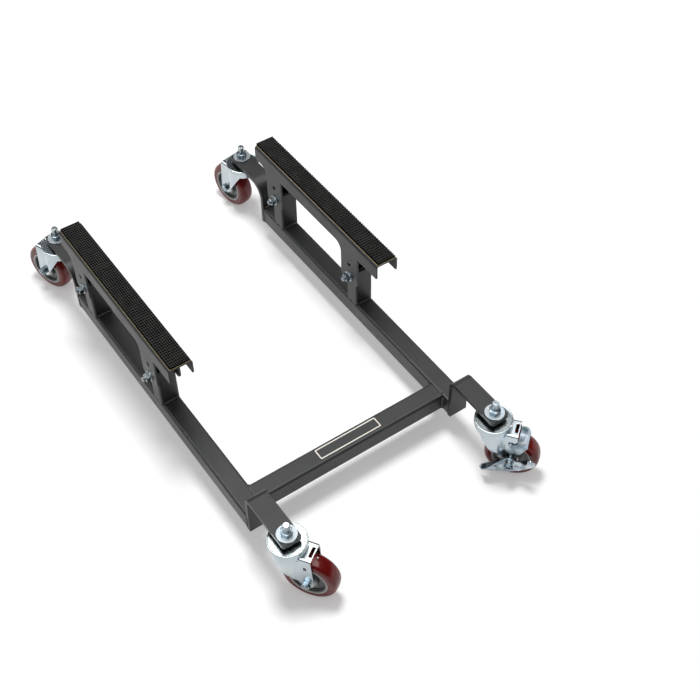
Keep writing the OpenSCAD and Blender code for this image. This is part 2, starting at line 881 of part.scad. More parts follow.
// Wheel core: a rim and a hub joined by a thin web, with a pocket for each bearing
module wheel_core() {
    rim_r = core_d / 2;
    half = wheel_w / 2;
    hub_bore = sleeve_d / 2 + hub_play;
    color([0.3, 0.31, 0.33])
    on_axle() rotate_extrude() difference() {
        union() {
            translate([hub_bore, -half]) square([hub_d / 2 - hub_bore, wheel_w]);
            translate([hub_d / 2 - merge, -web_w / 2]) square([rim_r - hub_d / 2, web_w]);
            translate([rim_r - rim_t, -rim_w / 2]) square([rim_t, rim_w]);
            for (z = [-1, 1]) translate([rim_r - rim_bead, z * rim_bead_z]) circle(rim_bead);
        }
        for (z = [-1, 1]) translate([0, z * (half - bearing_w / 2 + cut / 2)])
            square([bearing_d, bearing_w + cut], center = true);
    }
}

module front_left_wheel_core() front_left() wheel_core();
module front_right_wheel_core() front_right() wheel_core();
module rear_left_wheel_core() rear_left() wheel_core();
module rear_right_wheel_core() rear_right() wheel_core();

// Moulded tread with round shoulders that run into a crown
module tread() {
    r = wheel_d / 2;
    inner = core_d / 2;
    depth = r - inner;
    side = wheel_w / 2 - tread_edge;
    lift = tread_crown - tread_edge;
    shoulder = r - tread_crown + sqrt(lift * lift - side * side);
    reach = side * tread_crown / lift;
    color([0.42, 0.1, 0.1])
    on_axle() rotate_extrude() difference() {
        intersection() {
            translate([inner, -wheel_w / 2]) square([depth, wheel_w]);
            union() {
                translate([inner, -wheel_w / 2]) square([shoulder - inner, wheel_w]);
                for (z = [-1, 1]) translate([shoulder, z * side]) circle(tread_edge);
                intersection() {
                    translate([r - tread_crown, 0]) circle(tread_crown, $fn = 256);
                    translate([inner, -reach]) square([depth, 2 * reach]);
                }
                translate([inner, -tread_band / 2]) square([depth, tread_band]);
            }
        }
        for (z = [-1, 1]) translate([inner - rim_bead, z * rim_bead_z]) circle(rim_bead + run_fit);
    }
}

module front_left_tread() front_left() tread();
module front_right_tread() front_right() tread();
module rear_left_tread() rear_left() tread();
module rear_right_tread() rear_right() tread();

// Ball bearing of one piece with a recessed shield on both faces
module bearing() {
    recess = 0.6;
    ring = 2;
    bore = sleeve_d / 2 + run_fit;
    rotate_extrude() difference() {
        translate([bore, 0]) square([bearing_d / 2 - bore, bearing_w]);
        for (z = [-cut, bearing_w - recess])
            translate([bore + ring, z]) square([bearing_d / 2 - bore - 2 * ring, recess + cut]);
    }
}

module wheel_bearings() {
    color([0.7, 0.71, 0.73])
    on_axle() for (z = [-wheel_w / 2, wheel_w / 2 - bearing_w]) translate([0, 0, z]) bearing();
}

module front_left_wheel_bearings() front_left() wheel_bearings();
module front_right_wheel_bearings() front_right() wheel_bearings();
module rear_left_wheel_bearings() rear_left() wheel_bearings();
module rear_right_wheel_bearings() rear_right() wheel_bearings();

// Brake, on the front right caster

// Side outline of the see-saw pedal, from the axle
module pedal_outline() {
    strap(pedal_front, pedal_front_r, pedal_hub, pedal_hub_r);
    strap(pedal_root, pedal_root_r, pedal_rear, pedal_rear_r);
}

// Foot tab that turns outwards from an upper edge of the pedal; its plan is given in u and s
module foot_tab(ends) {
    d = ends[1] - ends[0];
    n = [d[1], -d[0]] / norm(d) * pedal_t;
    intersection() {
        along_y(-pedal_tab, pedal_tab + pedal_t / 2)
            polygon([ends[0], ends[1], ends[1] + n, ends[0] + n]);
        translate([0, 0, -wheel_d]) linear_extrude(2 * wheel_d) children();
    }
}

module brake_pedal() {
    inner = -fork_side - face_gap;
    front = edge(pedal_front, pedal_front_r, pedal_hub, pedal_hub_r, 1);
    rear = edge(pedal_root, pedal_root_r, pedal_rear, pedal_rear_r, 1);
    inset = 0.5;
    f0 = front[0][0] + inset;
    f1 = front[1][0] - inset;
    r0 = (rear[0][0] + rear[1][0]) / 2;
    r1 = rear[1][0] - inset;
    bevel = 4;
    color([0.82, 0.85, 0.88])
    front_right() translate([caster_lead, 0, axle_z]) difference() {
        union() {
            along_y(pedal_s - pedal_t, pedal_t) pedal_outline();
            translate([0, pedal_s - pedal_t, 0]) {
                foot_tab(front) polygon([[f0, pedal_t / 2], [f0, bevel - pedal_tab],
                    [f0 + bevel, -pedal_tab], [f0 + 3 * bevel, -pedal_tab], [f1, 0], [f1, pedal_t / 2]]);
                foot_tab(rear) polygon([[r0, pedal_t / 2], [r0, 0],
                    [r1 - bevel, bevel - pedal_tab], [r1, bevel - pedal_tab], [r1, pedal_t / 2]]);
            }
            along_y(inner - boss_len, boss_len) circle(d = boss_d);
        }
        along_y(inner - boss_len - cut, boss_len + 2 * cut) circle(d = axle_d + 2 * run_fit);
    }
}

// Side plate of the shoe, from its rivet
module shoe_plate() {
    polygon([shoe_foot, shoe_heel, shoe_nose, shoe_crest, shoe_back,
        [shoe_back[0], shoe_neck[1] + shoe_ring], shoe_neck, [-shoe_ring, shoe_neck[1]]]);
    circle(shoe_ring);
}

// Section of the bridge that crosses the tread and bends down behind it
module shoe_bridge() {
    fall = shoe_lip - shoe_crest;
    n = [fall[1], -fall[0]] / norm(fall) * shoe_t;
    polygon([shoe_back, shoe_back - [0, shoe_t], shoe_crest - [shoe_chamfer, shoe_t],
        shoe_lip + n, shoe_lip, shoe_crest]);
}

// Notches that leave teeth along the bridge's lower edge
module shoe_notches() {
    tooth = (shoe_side + shoe_reach) / shoe_teeth;
    along_x(shoe_crest[0], shoe_ring + cut) for (i = [0 : shoe_teeth - 1])
        translate([i * tooth - shoe_side, shoe_lip[1]])
            polygon([[0, -cut], [tooth / 2, shoe_notch], [tooth, -cut]]);
}

module brake_shoe() {
    color([0.72, 0.75, 0.8])
    front_right() translate([pin_u, 0, pin_z]) difference() {
        union() {
            along_y(-shoe_side - shoe_t, shoe_t) shoe_plate();
            along_y(-shoe_side - shoe_t, shoe_side + shoe_t + shoe_reach) shoe_bridge();
        }
        shoe_notches();
        along_y(-shoe_side - shoe_t - cut, shoe_t + 2 * cut) circle(d = rivet_d + 2 * run_fit);
    }
}

module brake_pin() {
    span = shoe_t + face_gap + fork_t;
    r = rivet_d / 2;
    rim = r + rivet_lip;
    half = rivet_head / 2;
    color([0.7, 0.71, 0.73])
    front_right() translate([pin_u, -fork_gap / 2, pin_z]) rotate([90, 0, 0]) rotate_extrude()
        polygon([[0, -rivet_head], [r, -rivet_head], [rim, -half], [rim, 0], [r, 0], [r, span],
            [rim, span], [rim, span + half], [r, span + rivet_head], [0, span + rivet_head]]);
}

left_rail();
right_rail();
cross_tube();
front_left_arm();
front_right_arm();
rear_left_arm();
rear_right_arm();
front_left_post();
front_right_post();
rear_left_post();
rear_right_post();
left_support_channel();
right_support_channel();
left_pad_tape();
right_pad_tape();
left_pad();
right_pad();
support_bolts();
support_nuts();
support_washers();
frame_welds();
caster_stems();
top_races();
stem_nuts();
stem_washers();
race_balls();
front_left_fork();
front_right_fork();
rear_left_fork();
rear_right_fork();
front_left_axle_bolt();
front_right_axle_bolt();
rear_left_axle_bolt();
rear_right_axle_bolt();
front_left_axle_nut();
front_right_axle_nut();
rear_left_axle_nut();
rear_right_axle_nut();
front_left_axle_sleeve();
front_right_axle_sleeve();
rear_left_axle_sleeve();
rear_right_axle_sleeve();
front_left_wheel_core();
front_right_wheel_core();
rear_left_wheel_core();
rear_right_wheel_core();
front_left_tread();
front_right_tread();
rear_left_tread();
rear_right_tread();
front_left_wheel_bearings();
front_right_wheel_bearings();
rear_left_wheel_bearings();
rear_right_wheel_bearings();
brake_pedal();
brake_shoe();
brake_pin();
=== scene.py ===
"""Looks of a motorcycle mover dolly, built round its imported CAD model.

The dolly is a low frame of square tube on four swivel casters, with two padded supports.
The CAD nodes keep their shapes and get their finishes here. The pads, the weld beads, the
threads, the wheels' rings, the pedal's relief and the label's place are modelled here.
"""

import json
import logging
import math
from dataclasses import dataclass, field
from enum import Enum
from typing import Callable, Sequence

import bmesh
import bpy
from mathutils import Matrix, Vector
from mathutils.geometry import convex_hull_2d


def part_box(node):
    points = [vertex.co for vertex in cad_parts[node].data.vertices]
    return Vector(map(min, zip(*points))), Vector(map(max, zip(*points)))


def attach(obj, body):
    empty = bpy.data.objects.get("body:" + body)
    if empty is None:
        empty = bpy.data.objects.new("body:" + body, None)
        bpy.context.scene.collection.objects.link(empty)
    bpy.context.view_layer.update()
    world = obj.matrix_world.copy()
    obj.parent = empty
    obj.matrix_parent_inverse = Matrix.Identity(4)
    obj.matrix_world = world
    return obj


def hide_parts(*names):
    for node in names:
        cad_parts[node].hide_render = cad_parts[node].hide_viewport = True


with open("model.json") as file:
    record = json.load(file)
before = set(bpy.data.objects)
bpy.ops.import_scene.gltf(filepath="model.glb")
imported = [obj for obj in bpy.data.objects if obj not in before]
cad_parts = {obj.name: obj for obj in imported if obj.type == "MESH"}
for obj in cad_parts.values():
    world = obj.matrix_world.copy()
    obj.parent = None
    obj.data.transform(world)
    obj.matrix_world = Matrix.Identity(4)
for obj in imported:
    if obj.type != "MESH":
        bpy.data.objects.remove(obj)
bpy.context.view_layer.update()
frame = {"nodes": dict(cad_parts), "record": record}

log = logging.getLogger("dolly")

Colour = tuple[float, float, float]
Socket = bpy.types.NodeSocket
MM = 0.001
WHITE: Colour = (1.0, 1.0, 1.0)


# Helpers for shader nodes

class Graph:
    """A node tree with short calls to add nodes and links."""

    def __init__(self, tree: bpy.types.NodeTree) -> None:
        """Start on an empty tree."""
        self.tree = tree
        tree.nodes.clear()

    def node(self, kind: str, **values: object) -> bpy.types.Node:
        """Add a node and set its properties.

        Args:
            kind: The node's type, without the ShaderNode prefix where it has one.
            values: Properties of the node.

        Returns:
            The new node.
        """
        name = kind if kind.startswith("Node") else "ShaderNode" + kind
        made = self.tree.nodes.new(name)
        for key, value in values.items():
            setattr(made, key, value)
        return made

    def feed(self, node: bpy.types.Node, **inputs: object) -> bpy.types.Node:
        """Set or link a node's inputs by name, with _ for a space.

        Args:
            node: The node to feed.
            inputs: A value, or an output socket to link.

        Returns:
            The same node.
        """
        for key, value in inputs.items():
            socket = node.inputs[key.replace("_", " ")]
            self.join(value, socket)
        return node

    def join(self, value: object, socket: Socket) -> None:
        """Link an output socket to an input, or set the input's value.

        Args:
            value: A value, or an output socket to link.
            socket: The input.
        """
        if isinstance(value, Socket):
            self.tree.links.new(value, socket)
        elif isinstance(value, tuple) and len(value) == 3 and socket.type == "RGBA":
            socket.default_value = (*value, 1.0)
        else:
            socket.default_value = value

    def math(self, operation: str, a: object, b: object = 0.0, clamp: bool = False) -> Socket:
        """Add a Math node.

        Args:
            operation: The name of the operation.
            a: First value or socket.
            b: Second value or socket.
            clamp: Whether the result is kept from 0 to 1.

        Returns:
            The result's socket.
        """
        made = self.node("Math", operation=operation, use_clamp=clamp)
        self.join(a, made.inputs[0])
        self.join(b, made.inputs[1])
        return made.outputs[0]

    def ramp(self, value: object, low: float, high: float, to_low: float = 0.0, to_high: float = 1.0
             ) -> Socket:
        """Map a value smoothly from one range to another.

        Args:
            value: The value or socket to map.
            low: The value that gives to_low.
            high: The value that gives to_high.
            to_low: The result at low.
            to_high: The result at high.

        Returns:
            The result's socket.
        """
        made = self.node("MapRange", interpolation_type="SMOOTHSTEP")
        self.feed(made, Value=value, From_Min=low, From_Max=high, To_Min=to_low, To_Max=to_high)
        return made.outputs["Result"]

    def mix(self, factor: object, a: object, b: object) -> Socket:
        """Mix two colours.

        Args:
            factor: How much of the second colour shows.
            a: First colour or socket.
            b: Second colour or socket.

        Returns:
            The mixed colour's socket.
        """
        made = self.node("Mix", data_type="RGBA")
        self.join(factor, made.inputs[0])
        self.join(a, made.inputs[6])
        self.join(b, made.inputs[7])
        return made.outputs[2]

    def noise(self, place: object, scale: object, detail: float, rough: float) -> Socket:
        """Add a noise texture.

        Args:
            place: The coordinate socket.
            scale: Waves per metre, about, or their socket.
            detail: Number of finer layers.
            rough: Strength of the finer layers.

        Returns:
            The noise value's socket.
        """
        made = self.node("TexNoise")
        self.feed(made, Vector=place, Scale=scale, Detail=detail, Roughness=rough)
        return made.outputs[0]

    def dot(self, a: object, b: object) -> Socket:
        """Add the dot product of two directions.

        Args:
            a: First direction or socket.
            b: Second direction or socket.

        Returns:
            The product's socket.
        """
        made = self.node("VectorMath", operation="DOT_PRODUCT")
        self.join(a, made.inputs[0])
        self.join(b, made.inputs[1])
        return made.outputs["Value"]


def new_group(name: str, inputs: Sequence[tuple[str, str, object]], outputs: Sequence[tuple[str, str]]
              ) -> tuple[Graph, bpy.types.Node, bpy.types.Node]:
    """Start a shader node group.

    Args:
        name: The group's name.
        inputs: Name, socket type and default value of each input.
        outputs: Name and socket type of each output.

    Returns:
        The group's graph, its input node and its output node.
    """
    tree = bpy.data.node_groups.new(name, "ShaderNodeTree")
    graph = Graph(tree)
    for label, kind, value in inputs:
        socket = tree.interface.new_socket(label, in_out="INPUT", socket_type=kind)
        if value is not None:
            socket.default_value = value
    for label, kind in outputs:
        tree.interface.new_socket(label, in_out="OUTPUT", socket_type=kind)
    return graph, graph.node("NodeGroupInput"), graph.node("NodeGroupOutput")


def grain_group() -> bpy.types.NodeTree:
    """Build the group that gives a sprayed or cast surface its fine grain and broad mottling.

    Returns:
        The group, which puts out the grain and the mottling.
    """
    g, given, out = new_group(
        "surface_grain",
        [("Vector", "NodeSocketVector", None), ("Fine", "NodeSocketFloat", 900.0),
         ("Broad", "NodeSocketFloat", 18.0)],
        [("Grain", "NodeSocketFloat"), ("Mottle", "NodeSocketFloat")])
    g.join(g.noise(given.outputs[0], given.outputs[1], detail=2.0, rough=0.6), out.inputs[0])
    broad = g.noise(given.outputs[0], given.outputs[2], detail=4.0, rough=0.6)
    g.join(g.ramp(broad, 0.3, 0.7), out.inputs[1])
    return g.tree


def wear_group() -> bpy.types.NodeTree:
    """Build the group that finds a solid's edges and breaks them up into patches of wear.

    Returns:
        The group, which puts out the edges and their patches of wear.
    """
    g, given, out = new_group(
        "edge_wear",
        [("Vector", "NodeSocketVector", None), ("Rounded", "NodeSocketVector", None),
         ("Amount", "NodeSocketFloat", 0.5), ("Scale", "NodeSocketFloat", 120.0)],
        [("Edge", "NodeSocketFloat"), ("Worn", "NodeSocketFloat")])
    flat = g.dot(given.outputs[1], g.node("NewGeometry").outputs["Normal"])
    edge = g.ramp(flat, 0.999, 0.93)
    broken = g.ramp(g.noise(given.outputs[0], given.outputs[3], detail=5.0, rough=0.7), 0.45, 0.62)
    g.join(edge, out.inputs[0])
    g.join(g.math("MULTIPLY", g.math("MULTIPLY", edge, broken), given.outputs[2], True), out.inputs[1])
    return g.tree


class Groups:
    """Shader groups, each built once and placed in the materials that use it."""

    made: dict[str, bpy.types.NodeTree] = {}
    builders: dict[str, Callable[[], bpy.types.NodeTree]] = {"grain": grain_group, "wear": wear_group}

    @classmethod
    def place(cls, graph: Graph, name: str, **inputs: object) -> bpy.types.Node:
        """Put a group in a material.

        Args:
            graph: The material's graph.
            name: The group's short name.
            inputs: The group's inputs.

        Returns:
            The group node.
        """
        if name not in cls.made:
            cls.made[name] = cls.builders[name]()
        node = graph.node("Group")
        node.node_tree = cls.made[name]
        return graph.feed(node, **inputs)


# Finishes

@dataclass(frozen=True)
class Finish:
    """A surface finish with its colour, gloss and marks.

    Args:
        name: The material's name.
        colour: Base colour, linear.
        second: Colour that the mottling moves towards.
        mottle: Strength of the mottling.
        metal: Metallic value.
        rough: Roughness.
        rough_spread: How far roughness moves with the mottling.
        grain: Height of the fine grain, in metres.
        fine: Waves of fine grain per metre.
        broad: Waves of mottling per metre.
        edge: Radius of the rounded edges, in metres.
        worn: Colour of edge wear, and of the painted highlight along the edges.
        wear: Amount of edge wear.
        painted_edge_highlight: How far every edge, unbroken, moves to that colour, as a painted highlight.
        specular: Specular level.
        grain_rough: How far roughness moves with the fine grain.
    """

    name: str
    colour: Colour
    second: Colour
    mottle: float = 0.3
    metal: float = 0.0
    rough: float = 0.5
    rough_spread: float = 0.1
    grain: float = 0.00002
    fine: float = 900.0
    broad: float = 18.0
    edge: float = 0.0006
    worn: Colour = (0.3, 0.3, 0.3)
    wear: float = 0.3
    painted_edge_highlight: float = 0.0
    specular: float = 0.5
    grain_rough: float = 0.08

    def material(self) -> bpy.types.Material:
        """Build the material of this finish.

        Returns:
            The material.
        """
        mat = bpy.data.materials.new(self.name)
        mat.use_nodes = True
        g = Graph(mat.node_tree)
        place = g.node("TexCoord").outputs["Object"]
        grain = Groups.place(g, "grain", Vector=place, Fine=self.fine, Broad=self.broad)
        rounded = g.feed(g.node("Bevel", samples=4), Radius=self.edge)
        wear = Groups.place(g, "wear", Vector=place, Rounded=rounded.outputs[0], Amount=self.wear)
        colour = g.mix(g.math("MULTIPLY", grain.outputs["Mottle"], self.mottle), self.colour, self.second)
        colour = self.marked(g, place, colour)
        # Painted highlight: every edge is lightened evenly towards the colour of wear.
        colour = g.mix(g.math("MULTIPLY", wear.outputs["Edge"], self.painted_edge_highlight), colour, self.worn)
        colour = g.mix(wear.outputs["Worn"], colour, self.worn)
        rough = g.math("ADD", g.math("MULTIPLY", grain.outputs["Mottle"], self.rough_spread),
                       self.rough - self.rough_spread / 2)
        rough = g.math("ADD", rough, g.math("MULTIPLY", grain.outputs["Grain"], self.grain_rough), True)
        bump = g.feed(g.node("Bump"), Height=self.height(g, place, grain), Distance=self.grain,
                      Normal=rounded.outputs[0], Strength=1.0)
        shader = g.node("BsdfPrincipled")
        g.feed(shader, Base_Color=colour, Roughness=rough, Metallic=self.metal,
               Normal=bump.outputs[0], Specular_IOR_Level=self.specular)
        g.feed(g.node("OutputMaterial"), Surface=shader.outputs[0])
        return mat

    def marked(self, g: Graph, place: Socket, colour: Socket) -> Socket:
        """Give the colour its marks; a plain finish has none."""
        return colour

    def height(self, g: Graph, place: Socket, grain: bpy.types.Node) -> Socket:
        """Height of the surface's fine relief."""
        return grain.outputs["Grain"]


@dataclass(frozen=True)
class PowderCoat(Finish):
    """Satin black powder coat with light flecks and a faint bloom of dust.

    Args:
        dust: Strength of the dust.
        dust_colour: Colour of the dust.
        flecks: Strength of the flecks.
        fleck_colour: Colour of the flecks.
        peel: Height of the orange peel against the fine grain.
    """

    dust: float = 0.12
    dust_colour: Colour = (0.075, 0.074, 0.07)
    flecks: float = 0.3
    fleck_colour: Colour = (0.07, 0.07, 0.072)
    peel: float = 1.5

    def marked(self, g: Graph, place: Socket, colour: Socket) -> Socket:
        """Add the flecks and the dust.

        Args:
            g: The material's graph.
            place: The coordinate socket.
            colour: The colour so far.

        Returns:
            The colour with its marks.
        """
        cells = g.feed(g.node("TexVoronoi"), Vector=place, Scale=700.0)
        spots = g.ramp(cells.outputs[0], 0.22, 0.08)
        colour = g.mix(g.math("MULTIPLY", spots, self.flecks), colour, self.fleck_colour)
        haze = g.ramp(g.noise(place, scale=7.0, detail=5.0, rough=0.65), 0.45, 0.7)
        return g.mix(g.math("MULTIPLY", haze, self.dust), colour, self.dust_colour)

    def height(self, g: Graph, place: Socket, grain: bpy.types.Node) -> Socket:
        """Orange peel under the fine grain."""
        waves = g.noise(place, scale=320.0, detail=2.0, rough=0.5)
        return g.math("ADD", grain.outputs["Grain"], g.math("MULTIPLY", waves, self.peel))


@dataclass(frozen=True)
class ZincPlate(Finish):
    """Bright zinc plate with a faint blue and yellow bloom and small dark specks.

    Args:
        bloom: Strength of the bloom.
        blue: Colour of its blue patches.
        gold: Colour of its yellow patches.
        specks: Strength of the specks.
        speck_colour: Colour of the specks.
    """

    bloom: float = 0.25
    blue: Colour = (0.38, 0.52, 0.66)
    gold: Colour = (0.66, 0.6, 0.42)
    specks: float = 0.25
    speck_colour: Colour = (0.25, 0.27, 0.28)

    def marked(self, g: Graph, place: Socket, colour: Socket) -> Socket:
        """Add the blue and yellow bloom of the passivated plate, and small dark specks.

        Args:
            g: The material's graph.
            place: The coordinate socket.
            colour: The colour so far.

        Returns:
            The colour with its marks.
        """
        blues = g.ramp(g.noise(place, scale=34.0, detail=3.0, rough=0.6), 0.48, 0.7)
        colour = g.mix(g.math("MULTIPLY", blues, self.bloom), colour, self.blue)
        apart = g.feed(g.node("Mapping"), Vector=place, Location=(3.0, 1.0, 2.0)).outputs[0]
        golds = g.ramp(g.noise(apart, scale=27.0, detail=3.0, rough=0.6), 0.55, 0.75)
        colour = g.mix(g.math("MULTIPLY", golds, self.bloom), colour, self.gold)
        cells = g.feed(g.node("TexVoronoi"), Vector=place, Scale=240.0)
        spots = g.ramp(cells.outputs[0], 0.12, 0.05)
        return g.mix(g.math("MULTIPLY", spots, self.specks), colour, self.speck_colour)


@dataclass(frozen=True)
class RibbedRubber(Finish):
    """Black rubber with painted light on the tops of its ribs, while its cells keep the plain black.

    Args:
        crest: Height of the ribs' tops above the floor, in metres.
        deep: Depth below the tops at which the painted light ends, in metres.
        crest_colour: Colour of the painted light on the tops.
    """

    crest: float = 0.2633
    deep: float = 0.0004
    crest_colour: Colour = (0.068, 0.068, 0.065)

    def marked(self, g: Graph, place: Socket, colour: Socket) -> Socket:
        """Paint light on the tops of the ribs, more in some places than in others.

        Args:
            g: The material's graph.
            place: The coordinate socket.
            colour: The colour so far.

        Returns:
            The colour with its marks.
        """
        # Painted light: the ribs' tops, down to a small depth, turn lighter.
        up = g.feed(g.node("SeparateXYZ"), Vector=place).outputs[2]
        top = g.ramp(up, self.crest - self.deep, self.crest)
        # This noise, named dust, only makes the painted light on the tops patchy.
        dust = g.ramp(g.noise(place, scale=45.0, detail=4.0, rough=0.6), 0.25, 0.75, 0.55, 1.0)
        return g.mix(g.math("MULTIPLY", top, dust), colour, self.crest_colour)


@dataclass(frozen=True)
class CastFace(Finish):
    """Moulded face with shallow ripples under its grain.

    Args:
        ripple: Height of the ripples against the grain.
    """

    ripple: float = 0.8

    def height(self, g: Graph, place: Socket, grain: bpy.types.Node) -> Socket:
        """Grain with shallow cast ripples."""
        waves = g.noise(place, scale=260.0, detail=1.0, rough=0.4)
        return g.math("ADD", grain.outputs["Grain"], g.math("MULTIPLY", waves, self.ripple))


POWDER = PowderCoat("black_powder_coat", (0.0125, 0.0128, 0.0136), (0.018, 0.0184, 0.0192), mottle=0.6,
                    rough=0.39, rough_spread=0.08, grain=0.00003, fine=1100.0, edge=0.0012,
                    worn=(0.14, 0.138, 0.135), wear=0.35, painted_edge_highlight=0.2, specular=0.42)
ZINC = ZincPlate("zinc_plate", (0.42, 0.48, 0.51), (0.6, 0.65, 0.67), mottle=0.7, metal=1.0, rough=0.17,
                 rough_spread=0.06, grain=0.000002, fine=300.0, broad=16.0, edge=0.0011,
                 worn=(0.88, 0.9, 0.91), wear=0.15, painted_edge_highlight=0.2)
# Nut zinc: the same plate with a much darker base, as painted shade for the dark things that the nuts and
# bolts reflect.
NUT_ZINC = ZincPlate("nut_zinc", (0.1, 0.14, 0.17), (0.4, 0.46, 0.5), mottle=0.85, metal=1.0, rough=0.15,
                     rough_spread=0.06, grain=0.000002, fine=300.0, broad=90.0, edge=0.0004,
                     worn=(0.92, 0.93, 0.94), wear=0.2, painted_edge_highlight=0.3)
RACE_ZINC = ZincPlate("race_zinc", (0.42, 0.48, 0.5), (0.56, 0.61, 0.63), mottle=0.6, metal=1.0, rough=0.13,
                      rough_spread=0.04, grain=0.000001, fine=300.0, broad=16.0, edge=0.0011,
                      worn=(0.88, 0.9, 0.91), wear=0.1, painted_edge_highlight=0.2)
WASHER_ZINC = ZincPlate("washer_zinc", (0.3, 0.34, 0.36), (0.42, 0.46, 0.48), mottle=0.6, metal=1.0,
                        rough=0.38, rough_spread=0.06, grain=0.000002, fine=300.0, broad=60.0, edge=0.0008,
                        worn=(0.88, 0.9, 0.91), wear=0.15, painted_edge_highlight=0.5)
# Brake zinc: the same plate with a much darker base, as painted shade for the dark reflections on the
# brake's parts.
BRAKE_ZINC = ZincPlate("brake_zinc", (0.1, 0.145, 0.175), (0.56, 0.62, 0.66), mottle=0.95, metal=1.0,
                       rough=0.16, rough_spread=0.06, grain=0.000002, fine=300.0, broad=55.0, edge=0.0009,
                       worn=(0.92, 0.94, 0.95), wear=0.2, painted_edge_highlight=0.3, bloom=0.5)
# Thread: darker than the plated parts round it.
THREAD = Finish("darker_thread", (0.2, 0.22, 0.24), (0.34, 0.36, 0.38), mottle=0.6, metal=1.0, rough=0.26,
                rough_spread=0.1, grain=0.000004, fine=500.0, broad=60.0, edge=0.0002,
                worn=(0.75, 0.76, 0.77), wear=0.3, painted_edge_highlight=0.3)
STEEL = Finish("bearing_steel", (0.55, 0.56, 0.58), (0.7, 0.7, 0.7), metal=1.0, rough=0.22, grain=0.000005,
               worn=(0.8, 0.8, 0.8))
RUBBER = RibbedRubber("pad_rubber", (0.002, 0.002, 0.002), (0.004, 0.004, 0.004), mottle=0.8, rough=0.65,
                      rough_spread=0.2, grain=0.00003, fine=1500.0, broad=50.0, edge=0.0002,
                      worn=(0.08, 0.078, 0.07), wear=0.3, specular=0.03)
TAPE = Finish("pad_tape", (0.42, 0.35, 0.2), (0.3, 0.24, 0.12), mottle=0.6, rough=0.7, grain=0.00003,
              broad=90.0, worn=(0.5, 0.44, 0.3), wear=0.2)
CORE = CastFace("wheel_core", (0.12, 0.122, 0.125), (0.19, 0.192, 0.195), mottle=0.5, rough=0.34,
                rough_spread=0.14, grain=0.00003, fine=700.0, broad=60.0, worn=(0.5, 0.5, 0.5), wear=0.6)
TREAD = Finish("tread", (0.11, 0.003, 0.002), (0.17, 0.008, 0.006), mottle=0.6, rough=0.14,
               rough_spread=0.08, grain=0.000004, fine=300.0, broad=34.0, edge=0.0008,
               worn=(0.2, 0.03, 0.03), wear=0.15, specular=0.35)
# Rim beads and core rings: lighter than the core, as painted highlights along the wheel's raised rings.
BEAD_RING = Finish("rim_bead", (0.42, 0.43, 0.42), (0.5, 0.5, 0.49), mottle=0.5, rough=0.3, grain=0.00001,
                   worn=(0.6, 0.6, 0.6), wear=0.4)
CORE_RING = Finish("core_ring", (0.3, 0.3, 0.3), (0.38, 0.38, 0.38), mottle=0.6, rough=0.3, grain=0.00001,
                   worn=(0.6, 0.6, 0.6), wear=0.4)
BORDER_INK = Finish("label_border_ink", (0.88, 0.85, 0.77), (0.78, 0.74, 0.66), mottle=0.5, rough=0.5,
                    grain=0.00001, worn=(0.4, 0.4, 0.4), wear=0.2)


class Slot(Enum):
    """The record's material slots and the finish of each."""

    POWDER_COAT = POWDER
    ZINC_PLATE = ZINC
    BEARING_STEEL = STEEL
    PAD_RUBBER = RUBBER
    PAD_TAPE = TAPE
    WHEEL_CORE = CORE
    TREAD = TREAD

    @property
    def slot(self) -> str:
        """The slot's name in the record."""
        return self.name.lower()


class Paint:
    """Materials by finish, each built when it is first used."""

    made: dict[str, bpy.types.Material] = {}

    @classmethod
    def of(cls, finish: Finish) -> bpy.types.Material:
        """Find the material of a finish.

        Args:
            finish: The finish.

        Returns:
            Its material.
        """
        if finish.name not in cls.made:
            cls.made[finish.name] = finish.material()
        return cls.made[finish.name]

    @classmethod
    def put(cls, obj: bpy.types.Object, finish: Finish) -> None:
        """Give an object the material of a finish in all its slots.

        Args:
            obj: The object.
            finish: The finish.
        """
        mat = cls.of(finish)
        if not obj.data.materials:
            obj.data.materials.append(mat)
        for i in range(len(obj.data.materials)):
            obj.data.materials[i] = mat


# Helpers for meshes

def deselect() -> None:
    """Leave edit mode and deselect every object."""
    if bpy.context.object and bpy.context.object.mode != "OBJECT":
        bpy.ops.object.mode_set(mode="OBJECT")
    bpy.ops.object.select_all(action="DESELECT")


def active(obj: bpy.types.Object) -> None:
    """Make one object the only selected and active one.

    Args:
        obj: The object.
    """
    deselect()
    obj.select_set(True)
    bpy.context.view_layer.objects.active = obj


def settle(obj: bpy.types.Object) -> None:
    """Move an object's place into its mesh."""
    active(obj)
    bpy.ops.object.transform_apply(location=True, rotation=True, scale=True)


def finish_piece(obj: bpy.types.Object, name: str, body: str, slot: Slot, smooth: float = 35.0,
                 finish: Finish | None = None) -> bpy.types.Object:
    """Name a piece, dress it and fix it to its body.

    Args:
        obj: The piece.
        name: Its name.
        body: The CAD body that it moves with.
        slot: The record's slot, whose finish the piece gets when it has none of its own.
        smooth: Angle in degrees up to which its edges are shaded smooth.
        finish: Its own finish, where it differs from the slot's.

    Returns:
        The same object.
    """
    obj.name = name
    obj.data.name = name
    settle(obj)
    bpy.ops.object.shade_smooth_by_angle(angle=math.radians(smooth))
    Paint.put(obj, finish or slot.value)
    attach(obj, body)
    log.info("%s: %d faces on %s", name, len(obj.data.polygons), body)
    return obj


def joined(parts: Sequence[bpy.types.Object]) -> bpy.types.Object:
    """Join several objects into the first one.

    Args:
        parts: The objects.

    Returns:
        The joined object.
    """
    deselect()
    for part in parts:
        part.select_set(True)
    bpy.context.view_layer.objects.active = parts[0]
    bpy.ops.object.join()
    return bpy.context.object


def stand(at: Vector, axis: Vector) -> Matrix:
    """Place and turn of a shape whose own Z axis is to lie along another axis."""
    return Matrix.Translation(at) @ axis.to_track_quat("Z", "Y").to_matrix().to_4x4()


# Pads

